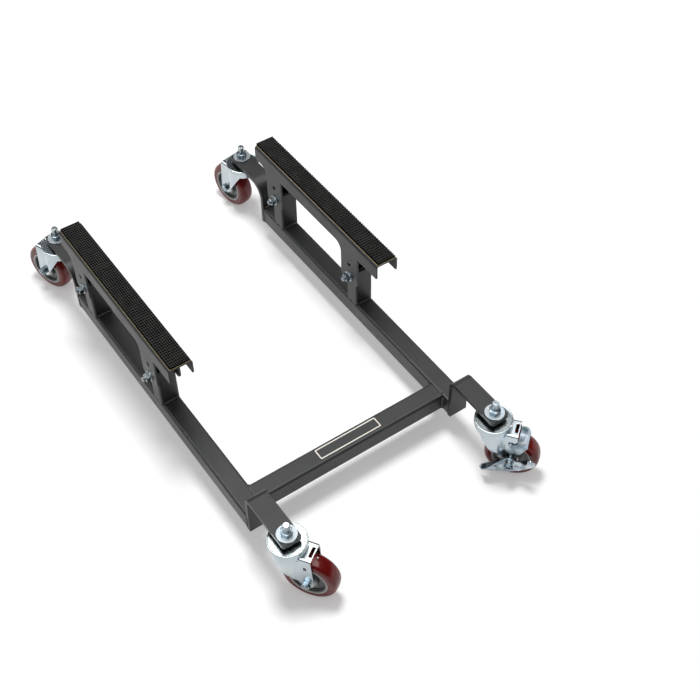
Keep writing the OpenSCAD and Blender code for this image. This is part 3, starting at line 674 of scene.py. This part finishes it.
@dataclass
class Pad:
    """Rubber pad of a support, with narrow ribs that cross between square cells.

    Args:
        side: The side of the dolly that the pad is on.
        rows: Number of cells along the pad.
        columns: Number of cells across it, of which the outer two are open to the pad's sides.
        rib: Width of a rib's top.
        taper: Distance that a cell narrows by on its way down.
        deep: Depth of a cell.
        spare: Extra width of the grid, in tapers, so that its outer cells pass the pad's sides.
    """

    side: str
    rows: int = 69
    columns: int = 10
    rib: float = 0.85 * MM
    taper: float = 0.25 * MM
    deep: float = 2.4 * MM
    spare: float = 2.4

    def build(self) -> bpy.types.Object:
        """Model the pad in place of the CAD node.

        Returns:
            The pad.
        """
        node = f"{self.side}_pad"
        low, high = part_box(node)
        size = high - low
        deselect()
        bpy.ops.mesh.primitive_grid_add(x_subdivisions=self.columns, y_subdivisions=self.rows, size=1.0,
                                        location=((low.x + high.x) / 2, (low.y + high.y) / 2, high.z))
        obj = bpy.context.object
        obj.scale = (size.x + self.rib + self.spare * self.taper, size.y, 1.0)
        settle(obj)
        bpy.ops.object.mode_set(mode="EDIT")
        bpy.ops.mesh.select_all(action="SELECT")
        bpy.ops.mesh.inset(thickness=self.rib / 2, depth=0.0, use_individual=True)
        bpy.ops.mesh.inset(thickness=self.taper, depth=-self.deep, use_individual=True)
        for edge, outwards in ((low, -1.0), (high, 1.0)):
            bpy.ops.mesh.select_all(action="SELECT")
            bpy.ops.mesh.bisect(plane_co=edge, plane_no=(outwards, 0.0, 0.0), clear_outer=True)
        bpy.ops.object.mode_set(mode="OBJECT")
        self.wall(obj, low.z)
        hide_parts(node)
        return finish_piece(obj, f"{self.side}_ribbed_pad", "frame", Slot.PAD_RUBBER, smooth=25.0)

    @staticmethod
    def wall(obj: bpy.types.Object, floor: float) -> None:
        """Extrude the outer edge of the pad down and close its underside.

        Args:
            obj: The pad's top.
            floor: Height of its underside.
        """
        mesh = bmesh.new()
        mesh.from_mesh(obj.data)
        rim = [e for e in mesh.edges if e.is_boundary]
        made = bmesh.ops.extrude_edge_only(mesh, edges=rim)
        lower = [v for v in made["geom"] if isinstance(v, bmesh.types.BMVert)]
        for v in lower:
            v.co.z = floor
        edges = [e for e in made["geom"] if isinstance(e, bmesh.types.BMEdge) and e.is_boundary]
        bmesh.ops.contextual_create(mesh, geom=edges)
        bmesh.ops.recalc_face_normals(mesh, faces=mesh.faces)
        mesh.to_mesh(obj.data)
        mesh.free()


# Weld beads

@dataclass
class WeldBeads:
    """Rippled weld beads, each in the place of a plain bead of the CAD node.

    Args:
        node: The CAD node.
        pitch: Distance between ripples.
        swell: Size of a ripple's crest against the plain bead.
        valley: Size of the valley between two ripples against the plain bead.
        crest: Place of the crest in a ripple's pitch.
        shoulder: Place of the rise before the crest in the pitch, and its size against the crest.
        blunt: Size of a bead's ends against a valley.
    """

    node: str = "frame_welds"
    pitch: float = 2.3 * MM
    swell: float = 1.12
    valley: float = 0.92
    crest: float = 0.55
    shoulder: tuple[float, float] = (0.2, 0.97)
    blunt: float = 0.7

    def plain_beads(self) -> list[list[Vector]]:
        """Find the corner points of each plain bead.

        Returns:
            The points, bead by bead.
        """
        mesh = bmesh.new()
        mesh.from_mesh(frame["nodes"][self.node].data)
        bmesh.ops.remove_doubles(mesh, verts=mesh.verts, dist=1e-6)
        seen: set[bmesh.types.BMVert] = set()
        beads = []
        for start in mesh.verts:
            if start in seen:
                continue
            seen.add(start)
            waiting, points = [start], []
            while waiting:
                vertex = waiting.pop()
                points.append(vertex.co.copy())
                for edge in vertex.link_edges:
                    other = edge.other_vert(vertex)
                    if other not in seen:
                        seen.add(other)
                        waiting.append(other)
            beads.append(points)
        mesh.free()
        return beads

    @staticmethod
    def rounded(outline: list[Vector], rounds: int = 2) -> list[Vector]:
        """Cut the corners of a closed outline, a few times over.

        Args:
            outline: The outline's points.
            rounds: How many times.

        Returns:
            The rounded outline's points.
        """
        for _ in range(rounds):
            ahead = outline[1:] + outline[:1]
            outline = [a.lerp(b, share) for a, b in zip(outline, ahead) for share in (0.25, 0.75)]
        return outline

    def stops(self, count: int) -> list[tuple[float, float]]:
        """List the outlines that a rippled bead is skinned over.

        Args:
            count: Number of ripples.

        Returns:
            Place of each outline, counted in ripples, and its size against the plain bead.
        """
        rise, share = self.shoulder
        made = [(0.0, self.valley * self.blunt)]
        for i in range(count):
            made += [(i + rise, self.swell * share), (i + self.crest, self.swell), (i + 1.0, self.valley)]
        made[-1] = (count, self.valley * self.blunt)
        return made

    def rings(self, points: list[Vector]) -> list[list[Vector]]:
        """Outlines of a rippled bead, one after another along it.

        Args:
            points: Corner points of the plain bead.

        Returns:
            The rings, all with the same number of points.
        """
        low = Vector([min(p[i] for p in points) for i in range(3)])
        high = Vector([max(p[i] for p in points) for i in range(3)])
        size = high - low
        along = max(range(3), key=lambda i: size[i])
        u, v = (i for i in range(3) if i != along)
        flat = [Vector((p[u], p[v])) for p in points]
        hull = [flat[i] for i in convex_hull_2d(flat)]
        middle = sum(hull, Vector((0.0, 0.0))) / len(hull)
        outline = self.rounded(hull)
        count = max(2, round(size[along] / self.pitch))
        made = []
        for at, grow in self.stops(count):
            ring = []
            for spot in outline:
                out = middle + (spot - middle) * grow
                point = Vector((0.0, 0.0, 0.0))
                point[u], point[v] = out
                point[along] = low[along] + size[along] * at / count
                ring.append(point)
            made.append(ring)
        return made

    def build(self) -> bpy.types.Object:
        """Skin all beads and join them in one piece.

        Returns:
            The piece.
        """
        mesh = bmesh.new()
        for points in self.plain_beads():
            rings = [[mesh.verts.new(p) for p in ring] for ring in self.rings(points)]
            for a, b in zip(rings, rings[1:]):
                for i in range(len(a)):
                    mesh.faces.new((a[i - 1], a[i], b[i], b[i - 1]))
            mesh.faces.new(rings[0])
            mesh.faces.new(rings[-1])
        bmesh.ops.recalc_face_normals(mesh, faces=mesh.faces)
        data = bpy.data.meshes.new("weld_beads")
        mesh.to_mesh(data)
        mesh.free()
        obj = bpy.data.objects.new("weld_beads", data)
        bpy.context.scene.collection.objects.link(obj)
        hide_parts(self.node)
        return finish_piece(obj, "weld_beads", "frame", Slot.POWDER_COAT, smooth=50.0)


# Threads

@dataclass
class Thread:
    """Screw thread on the bare end of a stem or bolt.

    Args:
        name: The piece's name.
        body: The CAD body that it moves with.
        base: Centre of the thread's first turn.
        axis: Direction in which the thread runs.
        radius: Radius of the shank.
        length: Length of the thread.
        pitch: Distance between turns.
        depth: Height of the thread.
        steps: Number of steps in a turn.
        width: Half the ridge's width against the pitch.
        sunk: How far the ridge's foot lies in the shank, against its height.
    """

    name: str
    body: str
    base: Vector
    axis: Vector
    radius: float
    length: float
    pitch: float
    depth: float = 0.3 * MM
    steps: int = 28
    width: float = 0.42
    sunk: float = 0.4

    def build(self) -> bpy.types.Object:
        """Sweep a three-sided ridge up the shank.

        Returns:
            The thread.
        """
        deselect()
        half = self.pitch * self.width
        bpy.ops.mesh.primitive_circle_add(vertices=3, radius=1.0, fill_type="NOTHING")
        obj = bpy.context.object
        inner = self.radius - self.depth * self.sunk
        corners = [(inner, -half), (self.radius + self.depth, 0.0), (inner, half)]
        for vertex, (out, up) in zip(obj.data.vertices, corners):
            vertex.co = (out, 0.0, up)
        turns = max(1, round((self.length - 2 * half) / self.pitch))
        screw = obj.modifiers.new("thread", "SCREW")
        screw.axis = "Z"
        screw.angle = math.tau
        screw.screw_offset = self.pitch
        screw.iterations = turns
        screw.steps = screw.render_steps = self.steps
        bpy.ops.object.modifier_apply(modifier="thread")
        self.close_ends(obj)
        obj.matrix_world = stand(self.base + self.axis.normalized() * half, self.axis)
        return finish_piece(obj, self.name, self.body, Slot.ZINC_PLATE, smooth=30.0, finish=THREAD)

    @staticmethod
    def close_ends(obj: bpy.types.Object) -> None:
        """Close the two open ends of a swept ridge and face it outwards.

        Args:
            obj: The ridge.
        """
        active(obj)
        bpy.ops.object.mode_set(mode="EDIT")
        bpy.ops.mesh.select_all(action="SELECT")
        bpy.ops.mesh.remove_doubles(threshold=1e-6)
        bpy.ops.mesh.select_all(action="DESELECT")
        bpy.ops.mesh.select_non_manifold(extend=False)
        bpy.ops.mesh.fill()
        bpy.ops.mesh.select_all(action="SELECT")
        bpy.ops.mesh.normals_make_consistent(inside=False)
        bpy.ops.object.mode_set(mode="OBJECT")


# Casters

WHEEL_RADIUS = 50.8 * MM
STEM_NUT_TOP = 162.6 * MM
STEM_TOP = 175.6 * MM
HALF_TRACK = 0.217
HALF_BASE = 0.425


@dataclass(frozen=True)
class Caster:
    """Place and parts of one caster.

    Args:
        name: The caster's name.
        trail: Direction in degrees in which its wheel trails.
        lead: Distance of the axle behind the stem.
        stem_radius: Radius of the stem.
        stem_tip: Length of the stem's plain tip.
        stem_pitch: Distance between the turns of the stem's thread.
        rim_radius: Radius of the bead round the rim.
        core_radii: Radii of the rings on the core.
        rim_bead: Radius of the rim bead's section, and its distance from the wheel's middle.
        core_bead: The same for the core's rings.
    """

    name: str
    trail: float
    lead: float = 40.5 * MM
    stem_radius: float = 6.35 * MM
    stem_tip: float = 1.4 * MM
    stem_pitch: float = 1.95 * MM
    rim_radius: float = 34.3 * MM
    core_radii: tuple[float, ...] = (19.6 * MM, 23.4 * MM, 27.4 * MM)
    rim_bead: tuple[float, float] = (1.45 * MM, 14.9 * MM)
    core_bead: tuple[float, float] = (0.7 * MM, 8.1 * MM)

    @property
    def stem(self) -> Vector:
        """Find where the stem's axis meets the floor.

        Returns:
            The point.
        """
        x = HALF_TRACK if "right" in self.name else -HALF_TRACK
        y = HALF_BASE if "rear" in self.name else -HALF_BASE
        return Vector((x, y, 0.0))

    def place(self, along: float, aside: float, height: float) -> Vector:
        """A point given in the caster's own frame.

        Args:
            along: Distance behind the stem.
            aside: Distance along the axle.
            height: Height above the floor.

        Returns:
            The point in the dolly's frame.
        """
        turn = Matrix.Rotation(math.radians(self.trail), 4, "Z")
        return self.stem + turn @ Vector((along, aside, height))

    @property
    def axle(self) -> Vector:
        """Direction of the axle."""
        return self.place(0, 1, 0) - self.place(0, 0, 0)

    def rings(self, radii: Sequence[float], thick: float, aside: float, name: str, finish: Finish
              ) -> bpy.types.Object:
        """Add round beads about the axle on both sides of the wheel.

        Args:
            radii: Radii of the beads' centre lines.
            thick: Radius of their section.
            aside: Distance from the wheel's middle.
            name: The piece's name.
            finish: Its finish.

        Returns:
            The piece.
        """
        made = []
        for side in (-1, 1):
            for radius in radii:
                deselect()
                bpy.ops.mesh.primitive_torus_add(major_radius=radius, minor_radius=thick,
                                                 major_segments=96, minor_segments=12)
                obj = bpy.context.object
                obj.matrix_world = stand(self.place(self.lead, side * aside, WHEEL_RADIUS), self.axle)
                made.append(obj)
        whole = joined(made)
        return finish_piece(whole, f"{self.name}_{name}", f"{self.name}_wheel", Slot.WHEEL_CORE,
                            smooth=60.0, finish=finish)

    def build(self) -> None:
        """Add the caster's thread, and the beads and rings of its wheel."""
        Thread(f"{self.name}_stem_thread", "frame", self.stem + Vector((0, 0, STEM_NUT_TOP)),
               Vector((0, 0, 1)), self.stem_radius, STEM_TOP - STEM_NUT_TOP - self.stem_tip,
               self.stem_pitch).build()
        self.rings((self.rim_radius,), *self.rim_bead, "rim_beads", BEAD_RING)
        self.rings(self.core_radii, *self.core_bead, "core_rings", CORE_RING)


CASTERS = (Caster("front_left", 303.5), Caster("front_right", 309.1),
           Caster("rear_left", 109.7), Caster("rear_right", 100.3))


# Brake pedal

@dataclass(frozen=True)
class Strap:
    """One round end of a flat strap, in millimetres from the axle.

    Args:
        centre: Its centre, along and up.
        radius: Its radius.
    """

    centre: tuple[float, float]
    radius: float

    def upper_edge(self, other: "Strap") -> tuple[Vector, Vector]:
        """Find the straight upper edge between this round end and one further along.

        Args:
            other: The other round end.

        Returns:
            The edge's end at this one, and its end at the other.
        """
        start, end = Vector(self.centre), Vector(other.centre)
        run = end - start
        turn = math.acos((self.radius - other.radius) / run.length)
        out = Matrix.Rotation(turn, 2) @ run.normalized()
        return start + out * self.radius, end + out * other.radius


@dataclass(frozen=True)
class PedalRelief:
    """Ridges on the pedal's foot tabs and the pressed bumps of its plate.

    Args:
        caster: The caster that has the brake.
        hub: The plate's end about the axle, on the front strap.
        front: The front strap's tip.
        root: The rear strap's root.
        rear: The rear strap's tip.
        face: Distance of the plate's outer face from the wheel's middle.
        ridge: Radius of a ridge.
        ridge_round: Rounding of a ridge's ends against its radius.
        front_marks: Distance from the tip and length of each ridge of the front tab, in millimetres.
        rear_marks: The same for the rear tab.
        bumps: Place along and up from the axle and radius of each bump, in millimetres.
        low: Height of a bump against its radius.
    """

    caster: Caster
    hub: Strap = Strap((0.0, -1.5), 18.0)
    front: Strap = Strap((-44.5, -24.5), 8.0)
    root: Strap = Strap((13.0, -2.0), 12.0)
    rear: Strap = Strap((36.5, 12.5), 9.5)
    face: float = 32.0 * MM
    ridge: float = 0.8 * MM
    ridge_round: float = 0.6
    front_marks: tuple[tuple[float, float], ...] = ((3.0, 8.5), (6.0, 9.5), (9.0, 9.5), (12.0, 8.0))
    rear_marks: tuple[tuple[float, float], ...] = ((1.5, 6.0), (4.3, 6.0), (7.1, 4.0))
    bumps: tuple[tuple[float, float, float], ...] = ((13.5, -1.5, 4.2), (-24.0, -14.5, 3.2))
    low: float = 0.42

    def ridge_at(self, spot: Vector, length: float) -> bpy.types.Object:
        """Model one ridge that stands out of the plate on a tab's upper face.

        Args:
            spot: Middle of the ridge's inner end, along and up from the axle.
            length: Length of the ridge.

        Returns:
            The ridge.
        """
        deselect()
        bpy.ops.mesh.primitive_cylinder_add(vertices=10, radius=self.ridge, depth=length)
        obj = bpy.context.object
        bpy.ops.object.mode_set(mode="EDIT")
        bpy.ops.mesh.bevel(offset=self.ridge * self.ridge_round, segments=2, affect="EDGES")
        bpy.ops.object.mode_set(mode="OBJECT")
        at = self.caster.place(self.caster.lead + spot.x, -self.face - length / 2 - self.ridge,
                               WHEEL_RADIUS + spot.y)
        obj.matrix_world = stand(at, self.caster.axle)
        return obj

    def bump_at(self, along: float, up: float, radius: float) -> bpy.types.Object:
        """Model a round bump pressed out of the plate.

        Args:
            along: Place of the bump along from the axle.
            up: Its place up from the axle.
            radius: Its radius.

        Returns:
            The bump.
        """
        deselect()
        bpy.ops.mesh.primitive_uv_sphere_add(segments=24, ring_count=12, radius=1.0)
        obj = bpy.context.object
        at = self.caster.place(self.caster.lead + along, -self.face, WHEEL_RADIUS + up)
        size = Matrix.Diagonal((radius, radius, radius * self.low, 1.0))
        obj.matrix_world = stand(at, self.caster.axle) @ size
        return obj

    def build(self) -> bpy.types.Object:
        """Add all ridges and bumps as one piece.

        Returns:
            The piece.
        """
        made = []
        front_tip, front_root = self.front.upper_edge(self.hub)
        rear_root, rear_tip = self.root.upper_edge(self.rear)
        for marks, tip, root in ((self.front_marks, front_tip, front_root),
                                 (self.rear_marks, rear_tip, rear_root)):
            way = (root - tip).normalized()
            for at, length in marks:
                made.append(self.ridge_at((tip + way * at) * MM, length * MM))
        for along, up, radius in self.bumps:
            made.append(self.bump_at(along * MM, up * MM, radius * MM))
        return finish_piece(joined(made), "pedal_relief", "pedal", Slot.ZINC_PLATE, smooth=45.0,
                            finish=BRAKE_ZINC)


# Support bolts and the label's place

@dataclass
class SupportBolts:
    """Threads on the ends of the four bolts that hold the supports.

    Args:
        radius: Radius of a bolt.
        pitch: Distance between turns.
        depth: Height of the thread.
        length: Length of the thread.
        rows: Places of the front and rear bolts along the dolly.
        height: Height of the bolts above the floor.
        reach: Distance of a thread's start from its support's middle.
    """

    radius: float = 4.75 * MM
    pitch: float = 1.59 * MM
    depth: float = 0.22 * MM
    length: float = 4.6 * MM
    rows: tuple[float, float] = (-0.012, 0.2545)
    height: float = 0.1615
    reach: float = 0.0345

    def build(self) -> None:
        """Add a thread to each bolt's end, which points to -X."""
        for side, name_x in ((-1, "left"), (1, "right")):
            for y, name_y in zip(self.rows, ("front", "rear")):
                base = Vector((side * HALF_TRACK - self.reach, y, self.height))
                Thread(f"{name_y}_{name_x}_bolt_thread", "frame", base, Vector((-1, 0, 0)),
                       self.radius, self.length, self.pitch, self.depth).build()


@dataclass
class LabelPlace:
    """Bare plate with a printed border on top of the cross tube.

    Args:
        centre: Its centre, on the flat of the tube's top.
        size: Its length and width.
        thick: Thickness of the plate.
        corner: Radius of its corners.
        margin: Distance from the plate's outline to the border.
        border: Width of the border.
        ink: Thickness of the border.
    """

    centre: tuple[float, float] = (0.0, -0.2856)
    size: tuple[float, float] = (0.131, 0.0236)
    thick: float = 0.35 * MM
    corner: float = 2.6 * MM
    margin: float = 0.3 * MM
    border: float = 2.3 * MM
    ink: float = 0.08 * MM

    def slab(self, inset: float, bottom: float, thick: float) -> bpy.types.Object:
        """Model a flat plate with round corners.

        Args:
            inset: Distance inside the label's outline.
            bottom: Height of its underside.
            thick: Its thickness.

        Returns:
            The plate.
        """
        deselect()
        bpy.ops.mesh.primitive_cube_add(size=1.0, location=(*self.centre, bottom + thick / 2))
        obj = bpy.context.object
        obj.scale = (self.size[0] - 2 * inset, self.size[1] - 2 * inset, thick)
        settle(obj)
        bpy.ops.object.mode_set(mode="EDIT")
        bpy.ops.mesh.select_mode(type="EDGE")
        bpy.ops.mesh.select_all(action="DESELECT")
        bpy.ops.object.mode_set(mode="OBJECT")
        for edge in obj.data.edges:
            a, b = (obj.data.vertices[i].co for i in edge.vertices)
            edge.select = abs(a.z - b.z) > thick / 2
        bpy.ops.object.mode_set(mode="EDIT")
        bpy.ops.mesh.bevel(offset=self.corner - inset, segments=8, affect="EDGES")
        bpy.ops.object.mode_set(mode="OBJECT")
        return obj

    def build(self) -> None:
        """Add the plate and its border."""
        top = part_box("cross_tube")[1].z
        plate = self.slab(0.0, top, self.thick)
        finish_piece(plate, "label_plate", "frame", Slot.POWDER_COAT, smooth=30.0)
        ring = self.slab(self.margin, top + self.thick, self.ink)
        self.open_middle(ring)
        finish_piece(ring, "label_border", "frame", Slot.ZINC_PLATE, smooth=30.0, finish=BORDER_INK)

    def open_middle(self, obj: bpy.types.Object) -> None:
        """Leave only a narrow band along the outline of a plate.

        Args:
            obj: The plate.
        """
        active(obj)
        bpy.ops.object.mode_set(mode="EDIT")
        bpy.ops.mesh.select_all(action="DESELECT")
        bpy.ops.object.mode_set(mode="OBJECT")
        for face in obj.data.polygons:
            face.select = abs(face.normal.z) > 0.5
        bpy.ops.object.mode_set(mode="EDIT")
        bpy.ops.mesh.select_mode(type="FACE")
        bpy.ops.mesh.inset(thickness=self.border, depth=0.0, use_individual=True)
        bpy.ops.mesh.bridge_edge_loops()
        bpy.ops.object.mode_set(mode="OBJECT")


# Dressing of the CAD nodes

SLOT_OF_MATERIAL = {slot.slot: slot for slot in Slot}
NODE_FINISHES = {
    **{f"{caster.name}_{part}": NUT_ZINC for caster in CASTERS for part in ("axle_nut", "axle_bolt")},
    **{node: NUT_ZINC for node in ("stem_nuts", "support_nuts", "support_bolts")},
    **{node: WASHER_ZINC for node in ("stem_washers", "support_washers")},
    **{node: BRAKE_ZINC for node in ("brake_pedal", "brake_shoe", "brake_pin")},
    "top_races": RACE_ZINC,
}


def dress_nodes() -> None:
    """Give every CAD node the finish of its slot in the record, or its own."""
    for entry in frame["record"]["subparts"]:
        node = entry["node"]
        finish = NODE_FINISHES.get(node, SLOT_OF_MATERIAL[entry["material_slot"]].value)
        Paint.put(frame["nodes"][node], finish)
        log.info("node %s: %s", node, finish.name)


# Studio

@dataclass(frozen=True)
class Lamp:
    """A lamp that shines at a point: a soft one, or a small one that only makes glints.

    Args:
        name: The lamp's name.
        place: Where it hangs.
        size: Its diameter.
        power: Its power in watts.
        glints: Whether it only makes glints.
        aim: The point that it shines at.
    """

    name: str
    place: tuple[float, float, float]
    size: float
    power: float
    glints: bool = False
    aim: tuple[float, float, float] = (0.0, 0.0, 0.1)

    def build(self) -> None:
        """Add the lamp."""
        data = bpy.data.lights.new(self.name, "AREA")
        data.shape = "DISK"
        data.size = self.size
        data.energy = self.power
        obj = bpy.data.objects.new(self.name, data)
        obj.visible_glossy = self.glints
        obj.visible_diffuse = not self.glints
        obj.location = self.place
        obj.rotation_euler = (Vector(self.aim) - Vector(self.place)).to_track_quat("-Z", "Y").to_euler()
        bpy.context.scene.collection.objects.link(obj)


def seen_rays(g: Graph, path: bpy.types.Node) -> Socket:
    """Tell rays that show the background from rays that light the object.

    Args:
        g: The graph.
        path: Its Light Path node.

    Returns:
        A socket that is 1 for camera, transmission and glossy rays.
    """
    seen = g.math("MAXIMUM", path.outputs["Is Camera Ray"], path.outputs["Is Transmission Ray"])
    return g.math("MAXIMUM", seen, path.outputs["Is Glossy Ray"])


@dataclass
class Studio:
    """Camera, lamps, world and floor.

    Args:
        eye: The camera's place.
        forward: Direction in which it looks.
        roll: Its roll in degrees.
        lens: Its focal length in millimetres.
        floor_size: Width of the floor.
        paper: Colour of the floor.
        floor_glow: Light that the floor adds to what is seen of it, under the object.
        fade: Distances from the object over which the floor turns to white.
        backdrop_side: Side on which reflections show the white backdrop.
        band_height: Heights over which the backdrop fades in reflections, from clear to full.
        band_side: Share of the backdrop's side at which it starts and is full.
        air: Strength of the even light.
        ceiling_height: Heights over which the ceiling grows lighter in reflections.
        ceiling_light: Strength of the ceiling below and above them.
        soft_box: Direction of the soft box that reflections show.
        box_edge: Where its edge fades.
        box_light: Its strength.
        lamps: The lamps.
    """

    eye: tuple[float, float, float] = (-0.7286, -1.3675, 1.8231)
    forward: tuple[float, float, float] = (0.3696, 0.5438, -0.7535)
    roll: float = -0.784
    lens: float = 62.249
    floor_size: float = 14.0
    paper: Colour = (0.8, 0.8, 0.8)
    floor_glow: float = 0.255
    fade: tuple[float, float] = (0.85, 2.6)
    backdrop_side: tuple[float, float, float] = (0.56, 0.83, 0.0)
    band_height: tuple[float, float] = (0.22, 0.08)
    band_side: tuple[float, float] = (-0.45, -0.1)
    air: float = 0.36
    ceiling_height: tuple[float, float] = (0.66, 0.78)
    ceiling_light: tuple[float, float] = (0.08, 0.3)
    soft_box: tuple[float, float, float] = (-0.12, 0.1, 0.98)
    box_edge: tuple[float, float] = (0.8, 0.825)
    box_light: float = 4.5
    lamps: list[Lamp] = field(default_factory=lambda: [
        Lamp("key_lamp", (0.08, 0.3, 3.0), 0.9, 66.0),
        Lamp("fill_lamp", (-2.6, -0.2, 1.9), 1.6, 5.0),
        Lamp("left_glint", (-1.1, 1.2, 2.4), 0.2, 5.0, glints=True),
        Lamp("right_glint", (1.5, 0.2, 2.2), 0.2, 5.0, glints=True),
    ])

    def camera(self) -> None:
        """Set the camera where the photograph was taken from."""
        ahead = Vector(self.forward).normalized()
        level = ahead.cross(Vector((0, 0, 1))).normalized()
        up = level.cross(ahead)
        roll = math.radians(self.roll)
        right = level * math.cos(roll) + up * math.sin(roll)
        up = up * math.cos(roll) - level * math.sin(roll)
        data = bpy.data.cameras.new("photo_camera")
        data.sensor_width = 36.0
        data.lens = self.lens
        data.clip_start = 0.05
        data.clip_end = 60.0
        obj = bpy.data.objects.new("photo_camera", data)
        turn = Matrix((right, up, -ahead)).transposed().to_4x4()
        obj.matrix_world = Matrix.Translation(self.eye) @ turn
        bpy.context.scene.collection.objects.link(obj)
        bpy.context.scene.camera = obj

    def world(self) -> None:
        """Light evenly, and show plain white to the camera and in reflections."""
        world = bpy.data.worlds.new("studio")
        world.use_nodes = True
        bpy.context.scene.world = world
        g = Graph(world.node_tree)
        path = g.node("LightPath")
        seen = seen_rays(g, path)
        way = g.node("TexCoord").outputs["Generated"]
        height = g.feed(g.node("SeparateXYZ"), Vector=way).outputs[2]
        ceiling = g.ramp(height, *self.ceiling_height, *self.ceiling_light)
        box = g.ramp(g.dot(way, self.soft_box), *self.box_edge)
        ceiling = g.math("ADD", ceiling, g.math("MULTIPLY", box, self.box_light))
        band = g.math("MULTIPLY", g.ramp(height, *self.band_height),
                      g.ramp(g.dot(way, self.backdrop_side), *self.band_side))
        backdrop = g.math("MAXIMUM", path.outputs["Is Camera Ray"], band)
        glow = g.node("MapRange")
        g.feed(glow, Value=backdrop, To_Min=ceiling, To_Max=1.0)
        light = g.feed(g.node("Background"), Color=WHITE, Strength=self.air)
        shown = g.feed(g.node("Background"), Color=WHITE, Strength=glow.outputs["Result"])
        mix = g.node("MixShader")
        g.join(seen, mix.inputs[0])
        g.join(light.outputs[0], mix.inputs[1])
        g.join(shown.outputs[0], mix.inputs[2])
        g.feed(g.node("OutputWorld"), Surface=mix.outputs[0])

    def floor(self) -> None:
        """Lay a plain pale floor that keeps the object's shadow."""
        deselect()
        bpy.ops.mesh.primitive_plane_add(size=self.floor_size, location=(0, 0, 0))
        obj = bpy.context.object
        obj.name = "studio_floor"
        mat = bpy.data.materials.new("studio_floor")
        mat.use_nodes = True
        g = Graph(mat.node_tree)
        seen = seen_rays(g, g.node("LightPath"))
        paper = g.feed(g.node("BsdfDiffuse"), Color=self.paper)
        reach = g.node("VectorMath", operation="LENGTH")
        g.join(g.node("TexCoord").outputs["Object"], reach.inputs[0])
        white = g.ramp(reach.outputs["Value"], *self.fade, self.floor_glow, 1.0)
        glow = g.feed(g.node("Emission"), Color=WHITE, Strength=g.math("MULTIPLY", seen, white))
        both = g.node("AddShader")
        g.join(paper.outputs[0], both.inputs[0])
        g.join(glow.outputs[0], both.inputs[1])
        g.feed(g.node("OutputMaterial"), Surface=both.outputs[0])
        obj.data.materials.append(mat)

    def build(self) -> None:
        """Set up the studio."""
        self.camera()
        self.world()
        self.floor()
        for lamp in self.lamps:
            lamp.build()
        bpy.context.scene.view_settings.view_transform = "Standard"


def main() -> None:
    """Build the studio, dress the CAD nodes and add the modelled pieces."""
    logging.basicConfig(level=logging.INFO, format="%(name)s: %(message)s")
    Studio().build()
    dress_nodes()
    for side in ("left", "right"):
        Pad(side).build()
    WeldBeads().build()
    for caster in CASTERS:
        caster.build()
    PedalRelief(CASTERS[1]).build()
    SupportBolts().build()
    LabelPlace().build()


if __name__ == "__main__":
    main()
